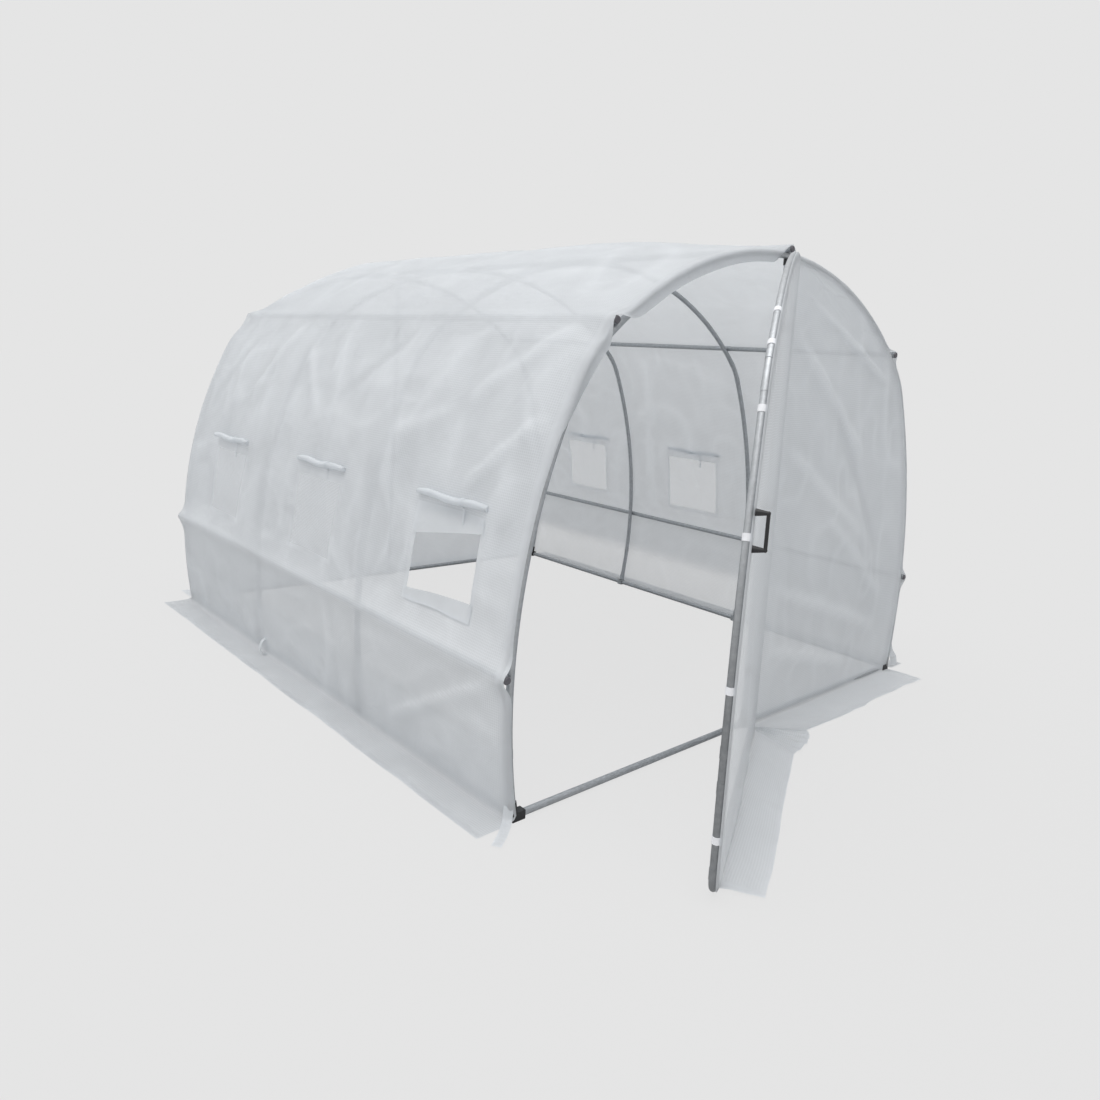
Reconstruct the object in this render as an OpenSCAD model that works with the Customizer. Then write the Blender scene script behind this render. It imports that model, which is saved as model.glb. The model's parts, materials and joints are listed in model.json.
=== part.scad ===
// Walk-in tunnel greenhouse: four bent steel hoops on a ground frame, five long tubes,
// a cloth cover with six roll-up windows, and a half-arch door hung on the front post.
// Millimetres. The origin is the foot of the front post, X right, Y to the back, Z up.

/* [Tunnel] */
// Width between the feet of a hoop, centre to centre
tunnel_w = 2500; // [2300:10:2700]
// Length from the front hoop to the back hoop, centre to centre
tunnel_l = 3000; // [2700:10:4500]
// Height of the hoop's centre line at the ridge
ridge_h = 1985; // [1950:5:2020]

/* [Hoops] */
// Bend radius of the hoop's side
side_r = 2330; // [2200:10:2500]
// Bend radius of the hoop's roof
roof_r = 1400; // [1360:5:1450]
// Angle of the roof bend from the ridge down to where the side would meet it
roof_half = 47.9; // [45:0.1:50]
// Bend radius where the side turns into the roof
shoulder_r = 350; // [250:5:450]
// Outer diameter of the steel tubes
tube_d = 25; // [22:0.5:28]
// Height of the swaged joint in a hoop's leg
swage_h = 240; // [180:5:320]
// Length of the swaged collar
swage_l = 34; // [20:1:60]
// Thickness of the swaged collar over the tube
swage_t = 1; // [0.5:0.1:2]

/* [Long tubes] */
// Height of the lower side tubes on the hoops
lower_h = 500; // [440:5:560]
// Distance of the shoulder tubes up the roof from the shoulder bend
shoulder_up = 92; // [60:2:140]
// How far the long tubes run past the end hoops
tube_over = 18; // [17:1:30]
// Length of the plastic plug on a tube's end
plug_l = 5; // [3:1:8]
// Rim of a plug over the tube
plug_rim = 1.5; // [0.5:0.5:3]
// Wall of the clips that hold the long tubes on the hoops
clip_t = 1.6; // [1:0.1:2.5]
// Length of those clips
clip_l = 32; // [20:1:50]

/* [Sockets] */
// Wall of the plastic sockets at the feet and post heads
socket_t = 3; // [2:0.5:5]
// Length that a socket holds a tube
socket_l = 36; // [30:1:60]
// Clearance of a tube in its socket
socket_fit = 0.2; // [0.1:0.05:0.5]

/* [Cover] */
// Thickness of the cover, end panels and skirts
cloth_t = 2; // [1:0.5:4]
// Clearance between the cloth and the frame
cloth_fit = 0.3; // [0.2:0.1:1]
// Clearance of the cover over a hoop halfway between two long tubes
hoop_clear = 3; // [1:0.5:10]
// Gap at the seams between strips of the cover
seam_gap = 0.6; // [0.4:0.1:2]
// Width of the side skirts on the ground
side_skirt_w = 140; // [80:5:220]
// Width of the end skirts on the ground
end_skirt_w = 190; // [100:5:240]

/* [Windows] */
// Width of a window
window_w = 380; // [300:5:460]
// Height of a window's sill
window_sill = 620; // [590:5:660]
// Height of a window's head
window_head = 935; // [880:5:980]
// Distance from a bay's front hoop to the middle of its window
window_y = 440; // [400:5:520]
// Diameter of a rolled-up flap
roll_d = 38; // [24:1:60]
// Length of a rolled-up flap
roll_l = 450; // [380:5:500]
// Height of the rolled-up flaps
roll_h = 1000; // [990:5:1040]

/* [Door] */
// Angle at which the door stands open, from closed
door_open = 31; // [0:1:90]
// Distance of the closed door in front of the front hoop, centre to centre
door_off = 38; // [37:0.5:44]
// How far the door's edge tube lies inside the hoop's line
door_in = 9; // [8:0.5:20]
// Gap between the hinge post and the door's stile, along the closed door
stile_gap = 14; // [14:0.5:20]
// Ground clearance of the door's bottom tube
sill_gap = 9; // [8:0.5:20]
// Bend radius of the door's bottom corner, at the free edge
toe_r = 75; // [50:5:120]
// Bend radius of the door's corners at the stile
stile_r = 45; // [35:5:70]
// Running clearance of the hinge clips on the post
hinge_fit = 0.08; // [0.02:0.01:0.1]
// Wall of the hinge clips
hinge_t = 3; // [2:0.5:4]
// Length of a hinge clip
hinge_l = 32; // [20:1:50]
// Height of the lowest hinge clip
hinge_low = 260; // [200:10:400]
// Distance of the highest hinge clip below the ridge
hinge_drop = 285; // [200:5:480]
// Ground clearance of the door's skirt
skirt_lift = 8; // [8:0.5:10]
// Height of the swaged joint in the door's free edge
door_swage_h = 355; // [250:5:450]
// Length of the handle
handle_l = 126; // [90:1:160]
// How far the handle stands out
handle_out = 42; // [30:1:60]
// Thickness of the handle's grip
handle_t = 11; // [8:0.5:16]
// Diameter of the handle's feet
handle_foot = 22; // [16:1:30]
// Height of the middle of the handle
handle_h = 1075; // [900:5:1100]
// Width of the door's cloth ties
tie_w = 22; // [12:1:40]
// Thickness of the ties over the tube
tie_t = 1.5; // [1:0.5:3]

/* [Hidden] */

// Colours, as on the object
steel = [0.62, 0.65, 0.68];
plastic = [0.10, 0.10, 0.11];
cloth = [0.92, 0.93, 0.94];

// Facets of the preview
arc_fn = 240;
tube_fn = 32;
handle_fn = 64;

tube_r = tube_d / 2;
half_w = tunnel_w / 2;
bays = 3;
bay = tunnel_l / bays;

// A point on a bend: centre, radius and angle
function on_arc(c, r, a) = c + r * [cos(a), sin(a)];
// Angle of the line from one point to another
function angle_to(c, p) = atan2(p.y - c.y, p.x - c.x);
// Centre of the circle through three points
function circle_centre(p, q, s) =
    let (
        d = 2 * (p.x * (q.y - s.y) + q.x * (s.y - p.y) + s.x * (p.y - q.y)),
        pp = p * p,
        qq = q * q,
        ss = s * s
    )
    [
        (pp * (q.y - s.y) + qq * (s.y - p.y) + ss * (p.y - q.y)) / d,
        (pp * (s.x - q.x) + qq * (p.x - s.x) + ss * (q.x - p.x)) / d
    ];

// Hoop: a side bend, a shoulder bend and a roof bend, each tangent to the next
roof_c = [0, ridge_h - roof_r];
corner = on_arc(roof_c, roof_r, 90 - roof_half);
leg_foot = [half_w, 0];
leg_span = norm(corner - leg_foot);
leg_dir = (corner - leg_foot) / leg_span;
leg_bulge = sqrt(side_r * side_r - leg_span * leg_span / 4);
side_c = (corner + leg_foot) / 2 + leg_bulge * [-leg_dir.y, leg_dir.x];
belly_h = side_c.y;
bend_span = norm(roof_c - side_c);
bend_dir = (roof_c - side_c) / bend_span;
side_reach = side_r - shoulder_r;
roof_reach = roof_r - shoulder_r;
bend_along = (side_reach * side_reach - roof_reach * roof_reach + bend_span * bend_span) / (2 * bend_span);
bend_up = sqrt(side_reach * side_reach - bend_along * bend_along);
shoulder_c = side_c + bend_along * bend_dir + bend_up * [-bend_dir.y, bend_dir.x];
side_end = angle_to(side_c, shoulder_c);
roof_start = angle_to(roof_c, shoulder_c);

// Ground frame: the tubes lie in sockets that stand on the ground
socket_r = tube_r + socket_fit + socket_t;
ground_z = socket_r;
hoop_foot_gap = 3;
hoop_foot_z = ground_z + tube_r + hoop_foot_gap;
foot_a = asin((hoop_foot_z - belly_h) / side_r);
leg_bow = 2 * socket_l * socket_l / side_r;
foot_fit = socket_fit + leg_bow;
swage_a = asin((swage_h - belly_h) / side_r);
butt_gap = 0.5;

// Long tubes: they lie outside the hoops, in clips
clip_fit = 0.15;
clip_r = tube_r + clip_fit + clip_t;
tube_off = tube_r + cloth_fit + clip_r;
lower_a = asin((lower_h - belly_h) / side_r);
shoulder_a = roof_start + shoulder_up / roof_r * 180 / PI;
ridge_a = 90;

// Cover: it turns at the long tubes and runs close to the hoops between them
clip_clear = 2.5 * cloth_fit;
cover_off = tube_off + clip_r + clip_clear;
mid_off = tube_r + hoop_clear;
foot_lean = 8;
foot_pt = [half_w + socket_r + foot_lean, cloth_t + seam_gap];
lower_pt = on_arc(side_c, side_r + cover_off, lower_a);
shoulder_pt = on_arc(roof_c, roof_r + cover_off, shoulder_a);
ridge_pt = [0, ridge_h + cover_off];
low_mid_pt = on_arc(side_c, side_r + mid_off + foot_lean, (foot_a + lower_a) / 2);
wall_r = side_r + mid_off + cloth_t;
sill_a = asin((window_sill - side_c.y) / wall_r);
head_a = asin((window_head - side_c.y) / wall_r);
sill_pt = on_arc(side_c, wall_r, sill_a);
head_pt = on_arc(side_c, wall_r, head_a);
ledge_pt = on_arc(side_c, (wall_r + side_r + cover_off) / 2, (lower_a + sill_a) / 2);
wall_mid_pt = on_arc(side_c, side_r + mid_off + tube_r, side_end);
roof_mid_pt = on_arc(roof_c, roof_r + mid_off, (shoulder_a + ridge_a) / 2);
upper_c = circle_centre(head_pt, wall_mid_pt, shoulder_pt);
upper_r = norm(head_pt - upper_c);
roll_a = asin((roll_h - upper_c.y) / upper_r);
end_y = socket_r + cloth_fit;
cover_front = -socket_r;
cover_back = tunnel_l + socket_r;
panel_lap = 8;
panel_edge = tube_r + stile_gap + panel_lap;

// Door, drawn closed in the plane of the front hoop and mirrored to the left
stile_x = tube_d + stile_gap;
door_z = sill_gap + tube_r;
door_side_r = side_r - door_in;
door_roof_r = roof_r - door_in;
door_shoulder_r = shoulder_r - door_in;
toe_z = door_z + toe_r;
leg_x = side_c.x + door_side_r;
toe_c = [leg_x - toe_r, toe_z];
low_tie_a = asin((toe_z - belly_h) / door_side_r);
top_reach = door_roof_r - stile_r;
top_x = stile_x + stile_r;
top_c = [top_x, roof_c.y + sqrt(top_reach * top_reach - top_x * top_x)];
top_a = angle_to(roof_c, top_c);
heel_c = [stile_x + stile_r, door_z + stile_r];
door_face = tube_r + swage_t + cloth_fit;
hinge_r = tube_r + hinge_fit + hinge_t;
clip_mouth = tube_r * 0.6;
hinge_high = ridge_h - hinge_drop;
hinge_zs = [hinge_low, (hinge_low + hinge_high) / 2, hinge_high];
handle_a = asin((handle_h - belly_h) / door_side_r);
side_ties = [0.075, 0.385, 0.686, 0.95];
roof_ties = [0.05, 0.21];
tie_fit = 0.2;
tie_gap = 4;
tie_reach = (swage_l + tie_w) / 2 + tie_gap;
door_swage_a = asin((door_swage_h - belly_h) / door_side_r);
handle_knuckle = handle_t * 1.15;

// A bent tube in the plane of a hoop
module bent_tube(c, r, a0, a1, d) {
    rotate([90, 0, 0])
        translate([c.x, c.y, 0])
            rotate([0, 0, a0])
                rotate_extrude(angle = a1 - a0, $fn = arc_fn)
                    translate([r, 0])
                        circle(d = d, $fn = tube_fn);
}

// A straight tube along Y
module tube_y(p, y0, y1, d) {
    translate([p.x, y0, p.y])
        rotate([-90, 0, 0])
            cylinder(d = d, h = y1 - y0, $fn = tube_fn);
}

// A straight tube along X
module tube_x(x0, x1, y, z, d) {
    translate([x0, y, z])
        rotate([0, 90, 0])
            cylinder(d = d, h = x1 - x0, $fn = tube_fn);
}

// A strip of cloth bent about an axis along Y
module cloth_arc(c, r, a0, a1, y0, y1) {
    rotate([90, 0, 0])
        translate([c.x, c.y, -y1])
            rotate([0, 0, a0])
                rotate_extrude(angle = a1 - a0, $fn = arc_fn)
                    translate([r, 0])
                        square([cloth_t, y1 - y0]);
}

// A strip of cloth through three points of the profile, short of its seams
module cloth_strip(p, m, q) {
    c = circle_centre(p, m, q);
    r = norm(p - c);
    trim = seam_gap / r * 180 / PI;
    cloth_arc(c, r, angle_to(c, p) + trim, angle_to(c, q) - trim, cover_front, cover_back);
}

module both_sides() {
    children();
    mirror([1, 0, 0])
        children();
}

module at_bay(i) {
    translate([0, i * bay, 0])
        children();
}

// A straight sleeve round a bent tube, centred at an angle of its bend
module sleeve(c, r, a, d, l) {
    p = on_arc(c, r, a);
    translate([p.x, 0, p.y])
        rotate([0, -a, 0])
            cylinder(d = d, h = l, center = true, $fn = tube_fn);
}

// The widened end of a tube that takes the next one
module swage(c, r, a) {
    sleeve(c, r, a, tube_d + 2 * swage_t, swage_l);
}

module hoop_leg() {
    bent_tube(side_c, side_r, foot_a, side_end, tube_d);
    bent_tube(shoulder_c, shoulder_r, side_end, roof_start, tube_d);
    swage(side_c, side_r, swage_a);
    swage(side_c, side_r, side_end);
    swage(roof_c, roof_r, roof_start);
}

module hoop_roof(d = tube_d) {
    bent_tube(roof_c, roof_r, roof_start, 180 - roof_start, d);
}

module hoop(i) {
    color(steel)
        at_bay(i) {
            hoop_roof();
            both_sides()
                hoop_leg();
        }
}

module front_hoop() {
    hoop(0);
}

module second_hoop() {
    hoop(1);
}

module third_hoop() {
    hoop(2);
}

module back_hoop() {
    hoop(3);
}

// Places of the long tubes on the right side, and the ridge
ridge_p = on_arc(roof_c, roof_r + tube_off, ridge_a);
shoulder_p = on_arc(roof_c, roof_r + tube_off, shoulder_a);
lower_p = on_arc(side_c, side_r + tube_off, lower_a);

function left_of(p) = [-p.x, p.y];

long_tubes = [ridge_p, shoulder_p, left_of(shoulder_p), lower_p, left_of(lower_p)];

module long_tube(p) {
    color(steel)
        tube_y(p, -tube_over, tunnel_l + tube_over, tube_d);
}

module ridge_tube() {
    long_tube(ridge_p);
}

module left_shoulder_tube() {
    long_tube(left_of(shoulder_p));
}

module right_shoulder_tube() {
    long_tube(shoulder_p);
}

module left_lower_tube() {
    long_tube(left_of(lower_p));
}

module right_lower_tube() {
    long_tube(lower_p);
}

// Clips round the long tubes, one at each hoop
module tube_clips() {
    color(steel)
        for (i = [0 : bays])
            at_bay(i)
                for (p = long_tubes)
                    difference() {
                        tube_y(p, -clip_l / 2, clip_l / 2, 2 * clip_r);
                        tube_y(p, -clip_l, clip_l, tube_d + 2 * clip_fit);
                    }
}

// Plugs on the ends of the long tubes, with a rounded face
module tube_plug() {
    cylinder(d1 = tube_d + 2 * plug_rim, d2 = tube_d - 2 * plug_rim, h = plug_l, $fn = tube_fn);
}

module tube_plugs() {
    color(plastic)
        for (p = long_tubes) {
            translate([p.x, -tube_over, p.y])
                rotate([90, 0, 0])
                    tube_plug();
            translate([p.x, tunnel_l + tube_over, p.y])
                rotate([-90, 0, 0])
                    tube_plug();
        }
}

module side_ground_tube(x) {
    tube_y([x, ground_z], -tube_r, tunnel_l + tube_r, tube_d);
}

module end_ground_tube(y, d = tube_d) {
    inner = half_w - tube_r - butt_gap;
    tube_x(-inner, inner, y, ground_z, d);
}

module left_ground_tube() {
    color(steel)
        side_ground_tube(-half_w);
}

module right_ground_tube() {
    color(steel)
        side_ground_tube(half_w);
}

module front_ground_tube() {
    color(steel)
        end_ground_tube(0);
}

module back_ground_tube() {
    color(steel)
        end_ground_tube(tunnel_l);
}

post_foot_z = ground_z + tube_r + butt_gap;
post_top_z = ridge_h - tube_r - butt_gap;

module post(d = tube_d) {
    translate([0, 0, post_foot_z])
        cylinder(d = d, h = post_top_z - post_foot_z, $fn = tube_fn);
}

module front_post() {
    color(steel)
        post();
}

module back_post() {
    color(steel)
        at_bay(bays)
            post();
}

// A tee on the ground tube that holds a post, flat underneath
module post_foot() {
    difference() {
        union() {
            translate([-socket_l / 2, -socket_r, 0])
                cube([socket_l, 2 * socket_r, 2 * socket_r]);
            cylinder(r = socket_r, h = post_foot_z + socket_l, $fn = tube_fn);
        }
        end_ground_tube(0, tube_d + 2 * socket_fit);
        post(tube_d + 2 * socket_fit);
    }
}

module post_feet() {
    color(plastic)
        for (i = [0, bays])
            at_bay(i)
                post_foot();
}

// A socket on a post's head with two cheeks that hold the hoop
module post_head() {
    difference() {
        translate([0, 0, ridge_h - socket_l])
            cylinder(r = socket_r, h = socket_l, $fn = tube_fn);
        post(tube_d + 2 * socket_fit);
        hoop_roof(tube_d + 2 * socket_fit);
    }
}

module post_heads() {
    color(plastic)
        for (i = [0, bays])
            at_bay(i)
                post_head();
}

// A straight sleeve that starts at the end of a hoop's leg
module foot_sleeve(d, l) {
    p = on_arc(side_c, side_r, foot_a);
    translate([p.x, 0, p.y])
        rotate([0, -foot_a, 0])
            cylinder(d = d, h = l, $fn = tube_fn);
}

// A socket for a hoop's foot on the right ground tube, flat underneath
module hoop_socket(y0, y1, arm) {
    difference() {
        union() {
            translate([half_w - socket_r, y0, 0])
                cube([2 * socket_r, y1 - y0, 2 * socket_r]);
            translate([half_w - arm, -socket_r, 0])
                cube([arm, 2 * socket_r, 2 * socket_r]);
            foot_sleeve(2 * socket_r, socket_l);
        }
        tube_y([half_w, ground_z], y0 + socket_t, y1 + socket_t, tube_d + 2 * socket_fit);
        tube_x(0, half_w, 0, ground_z, tube_d + 2 * socket_fit);
        foot_sleeve(tube_d + 2 * foot_fit, 2 * socket_l);
    }
}

module corner_feet() {
    color(plastic)
        both_sides() {
            hoop_socket(-socket_r, socket_l, socket_l);
            at_bay(bays)
                mirror([0, 1, 0])
                    hoop_socket(-socket_r, socket_l, socket_l);
        }
}

module middle_foot() {
    difference() {
        union() {
            translate([half_w - socket_r, -socket_l / 2, 0])
                cube([2 * socket_r, socket_l, 2 * socket_r]);
            foot_sleeve(2 * socket_r, socket_l);
        }
        tube_y([half_w, ground_z], -socket_l, socket_l, tube_d + 2 * socket_fit);
        foot_sleeve(tube_d + 2 * foot_fit, 2 * socket_l);
    }
}

module middle_feet() {
    color(steel)
        both_sides()
            for (i = [1 : bays - 1])
                at_bay(i)
                    middle_foot();
}

module lower_cover() {
    color(cloth)
        cloth_strip(foot_pt, low_mid_pt, lower_pt);
}

module roof_cover() {
    color(cloth)
        cloth_strip(shoulder_pt, roof_mid_pt, ridge_pt);
}

module wall_below() {
    color(cloth)
        cloth_strip(lower_pt, ledge_pt, sill_pt);
}

module wall_above() {
    color(cloth)
        cloth_strip(head_pt, wall_mid_pt, shoulder_pt);
}

// Edges of the window row along the tunnel, from the front to the back
function window_near(i) = i * bay + window_y - window_w / 2;
function window_far(i) = i * bay + window_y + window_w / 2;

module wall_between() {
    color(cloth)
        for (i = [0 : bays]) {
            y0 = i == 0 ? cover_front : window_far(i - 1);
            y1 = i == bays ? cover_back : window_near(i);
            cloth_arc(side_c, wall_r, sill_a, head_a, y0, y1);
        }
}

module flap_rolls() {
    p = on_arc(upper_c, upper_r + cloth_t + cloth_fit + roll_d / 2, roll_a);
    color(cloth)
        for (i = [0 : bays - 1])
            tube_y(p, i * bay + window_y - roll_l / 2, i * bay + window_y + roll_l / 2, roll_d);
}

module right_lower_cover() {
    lower_cover();
}

module left_lower_cover() {
    mirror([1, 0, 0])
        lower_cover();
}

module right_wall_below_windows() {
    wall_below();
}

module left_wall_below_windows() {
    mirror([1, 0, 0])
        wall_below();
}

module right_wall_between_windows() {
    wall_between();
}

module left_wall_between_windows() {
    mirror([1, 0, 0])
        wall_between();
}

module right_wall_above_windows() {
    wall_above();
}

module left_wall_above_windows() {
    mirror([1, 0, 0])
        wall_above();
}

module right_roof_cover() {
    roof_cover();
}

module left_roof_cover() {
    mirror([1, 0, 0])
        roof_cover();
}

module right_flap_rolls() {
    flap_rolls();
}

module left_flap_rolls() {
    mirror([1, 0, 0])
        flap_rolls();
}

// An upright sheet in the outline of the hoop, right of x0 and above z0
module arch_sheet(x0, z0, off, y0) {
    reach = 2 * tunnel_w;
    intersection() {
        translate([side_c.x, y0 + cloth_t, side_c.y])
            rotate([90, 0, 0])
                cylinder(r = side_r + off, h = cloth_t, $fn = arc_fn);
        union() {
            translate([roof_c.x, y0 + cloth_t, roof_c.y])
                rotate([90, 0, 0])
                    cylinder(r = roof_r + off, h = cloth_t, $fn = arc_fn);
            translate([0, y0, corner.y - 2 * abs(off) - reach])
                cube([reach, cloth_t, reach]);
        }
        translate([x0, y0 - cloth_t, z0])
            cube([reach, 3 * cloth_t, reach]);
    }
}

panel_z = cloth_t + seam_gap;

module front_panel() {
    color(cloth)
        arch_sheet(panel_edge, panel_z, panel_lap, -end_y - cloth_t);
}

module back_panel() {
    color(cloth)
        both_sides()
            arch_sheet(0, panel_z, panel_lap, tunnel_l + end_y);
}

module side_skirt() {
    color(cloth)
        translate([foot_pt.x, cover_front, 0])
            cube([side_skirt_w, cover_back - cover_front, cloth_t]);
}

module right_skirt() {
    side_skirt();
}

module left_skirt() {
    mirror([1, 0, 0])
        side_skirt();
}

// The front skirt is cut slantwise beside the door
module front_skirt() {
    color(cloth)
        translate([0, -end_y, 0])
            linear_extrude(cloth_t)
                polygon([
                    [panel_edge, 0],
                    [foot_pt.x, 0],
                    [foot_pt.x, -end_skirt_w],
                    [panel_edge + end_skirt_w, -end_skirt_w]
                ]);
}

module back_skirt() {
    color(cloth)
        translate([-foot_pt.x, tunnel_l + end_y, 0])
            cube([2 * foot_pt.x, end_skirt_w, cloth_t]);
}

// Turns what is drawn for a closed door on the right half into the open door on the left
module turn_door() {
    rotate([0, 0, door_open])
        mirror([1, 0, 0])
            children();
}

// The same for what is drawn in the plane of the front hoop
module open_door() {
    turn_door()
        translate([0, -door_off, 0])
            children();
}

// One closed loop of tube: free edge with a straight leg, toe, bottom, heel, stile and top
module door_frame() {
    color(steel)
        open_door() {
            translate([leg_x, 0, toe_z])
                cylinder(d = tube_d, h = belly_h - toe_z, $fn = tube_fn);
            bent_tube(side_c, door_side_r, 0, side_end, tube_d);
            bent_tube(shoulder_c, door_shoulder_r, side_end, roof_start, tube_d);
            bent_tube(roof_c, door_roof_r, roof_start, top_a, tube_d);
            bent_tube(top_c, stile_r, top_a, 180, tube_d);
            bent_tube(toe_c, toe_r, -90, 0, tube_d);
            bent_tube(heel_c, stile_r, 180, 270, tube_d);
            tube_x(heel_c.x, toe_c.x, 0, door_z, tube_d);
            translate([stile_x, 0, heel_c.y])
                cylinder(d = tube_d, h = top_c.y - heel_c.y, $fn = tube_fn);
            swage(side_c, door_side_r, 0);
            swage([side_c.x, door_swage_h], door_side_r, 0);
            swage(toe_c, toe_r, 0);
            swage(side_c, door_side_r, side_end);
            swage(roof_c, door_roof_r, roof_start);
            swage(roof_c, door_roof_r, top_a);
            swage(top_c, stile_r, 180);
            swage(toe_c, toe_r, -90);
            swage(heel_c, stile_r, 180);
            swage(heel_c, stile_r, 270);
        }
}

// What the door's cloth lacks outside the toe's bend
module toe_corner() {
    difference() {
        translate([toe_c.x, -2 * tube_d, toe_c.y - 2 * toe_r])
            cube([2 * toe_r, 2 * tube_d, 2 * toe_r]);
        translate([toe_c.x, tube_d, toe_c.y])
            rotate([90, 0, 0])
                cylinder(r = toe_r + panel_lap, h = 4 * tube_d, $fn = arc_fn);
    }
}

// The arch's outline, with its free edge straight down from the belly
module door_panel() {
    x0 = stile_x - panel_lap;
    z0 = door_z - panel_lap;
    color(cloth)
        open_door()
            difference() {
                union() {
                    arch_sheet(x0, z0, panel_lap - door_in, -door_face - cloth_t);
                    translate([x0, -door_face - cloth_t, z0])
                        cube([leg_x + panel_lap - seam_gap / 2 - x0, cloth_t, belly_h - z0]);
                }
                toe_corner();
            }
}

// A strip hanging from the door's cloth and the part of it that trails on the ground
module door_skirt() {
    top_z = door_z - panel_lap - seam_gap;
    color(cloth)
        open_door() {
            translate([stile_x, -door_face - cloth_t, skirt_lift])
                cube([toe_c.x - stile_x, cloth_t, top_z - skirt_lift]);
            translate([0, -door_face - cloth_t, skirt_lift])
                linear_extrude(cloth_t)
                    polygon([
                        [stile_x, 0],
                        [toe_c.x, 0],
                        [toe_c.x, -end_skirt_w],
                        [stile_x + end_skirt_w, -end_skirt_w]
                    ]);
        }
}

// An arm of the handle: a cone from its foot on the cloth to the grip
module handle_arm() {
    rotate([90, 0, 0])
        cylinder(d1 = handle_foot, d2 = handle_t, h = handle_out - handle_t / 2, $fn = handle_fn);
    translate([0, handle_t / 2 - handle_out, 0])
        sphere(d = handle_knuckle, $fn = handle_fn);
}

// A bow handle on the free edge, its feet on the cloth
module door_handle() {
    p = on_arc(side_c, door_side_r, handle_a);
    half_l = (handle_l - handle_foot) / 2;
    color(plastic)
        open_door()
            translate([p.x, -door_face - cloth_t - cloth_fit, p.y]) {
                for (z = [-half_l, half_l])
                    translate([0, 0, z])
                        handle_arm();
                translate([0, handle_t / 2 - handle_out, -half_l])
                    cylinder(d = handle_t, h = 2 * half_l, $fn = handle_fn);
            }
}

// The angle of a tie on a bend, moved to beside the swaged joint at angle s where it would sit on it
function beside(a, s, r) =
    let (near = tie_reach / r * 180 / PI)
    abs(a - s) >= near ? a : a < s ? s - near : s + near;

module tie(c, r, a) {
    difference() {
        sleeve(c, r, a, tube_d + 2 * tie_fit + 2 * tie_t, tie_w);
        sleeve(c, r, a, tube_d + 2 * tie_fit, 2 * tie_w);
        translate([0, -door_face - 2 * tube_d, 0])
            cube([tunnel_w, 2 * tube_d, ridge_h]);
    }
}

// A tie on the free edge, clear of its joints: on its straight part below the belly, and on its bend above
module side_tie(way) {
    a = beside(beside(beside(way, 0, door_side_r), door_swage_a, door_side_r), side_end, door_side_r);
    if (a < 0)
        tie([side_c.x, belly_h + door_side_r * sin(a)], door_side_r, 0);
    else
        tie(side_c, door_side_r, a);
}

module door_ties() {
    color(cloth)
        open_door() {
            for (t = side_ties)
                side_tie(low_tie_a + t * (side_end - low_tie_a));
            for (t = roof_ties)
                tie(roof_c, door_roof_r, beside(roof_start + t * (top_a - roof_start), roof_start, door_roof_r));
        }
}

// Clips with one ring that turns on the post and one, open at its front, that grips the stile
module hinge_clip() {
    arm_w = hinge_r * 0.6;
    difference() {
        union() {
            cylinder(r = hinge_r, h = hinge_l, $fn = tube_fn);
            translate([stile_x, -door_off, 0])
                cylinder(r = hinge_r, h = hinge_l, $fn = tube_fn);
            translate([0, -arm_w / 2, 0])
                cube([stile_x + arm_w / 2, arm_w, hinge_l]);
            translate([stile_x - arm_w / 2, -door_off, 0])
                cube([arm_w, door_off + arm_w / 2, hinge_l]);
        }
        translate([0, 0, -hinge_l])
            cylinder(r = tube_r + hinge_fit, h = 3 * hinge_l, $fn = tube_fn);
        translate([stile_x, -door_off, -hinge_l])
            cylinder(r = tube_r + hinge_fit, h = 3 * hinge_l, $fn = tube_fn);
        translate([stile_x - tube_d, -door_off - 2 * hinge_r - clip_mouth, -hinge_l])
            cube([2 * tube_d, 2 * hinge_r, 3 * hinge_l]);
    }
}

module hinge_clips() {
    color(plastic)
        turn_door()
            for (z = hinge_zs)
                translate([0, 0, z - hinge_l / 2])
                    hinge_clip();
}

front_hoop();
second_hoop();
third_hoop();
back_hoop();
ridge_tube();
left_shoulder_tube();
right_shoulder_tube();
left_lower_tube();
right_lower_tube();
left_ground_tube();
right_ground_tube();
front_ground_tube();
back_ground_tube();
front_post();
back_post();
post_feet();
post_heads();
corner_feet();
middle_feet();
tube_clips();
tube_plugs();
left_lower_cover();
left_wall_below_windows();
left_wall_between_windows();
left_wall_above_windows();
left_roof_cover();
right_roof_cover();
right_lower_cover();
right_wall_below_windows();
right_wall_between_windows();
right_wall_above_windows();
left_flap_rolls();
right_flap_rolls();
front_panel();
back_panel();
left_skirt();
right_skirt();
front_skirt();
back_skirt();
door_frame();
door_panel();
door_skirt();
door_handle();
door_ties();
hinge_clips();
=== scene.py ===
"""Looks of a walk-in tunnel greenhouse: woven cover, end panels, door cloth and finishes.

Metres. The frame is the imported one: the origin is the foot of the front post on the door's
hinge line, X runs to the right, Y to the back and Z up.
"""

import json
import logging
import math
from dataclasses import dataclass, field, replace
from enum import Enum
from typing import Sequence, Union

import bpy
import numpy as np
from mathutils import Matrix, Vector

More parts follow.
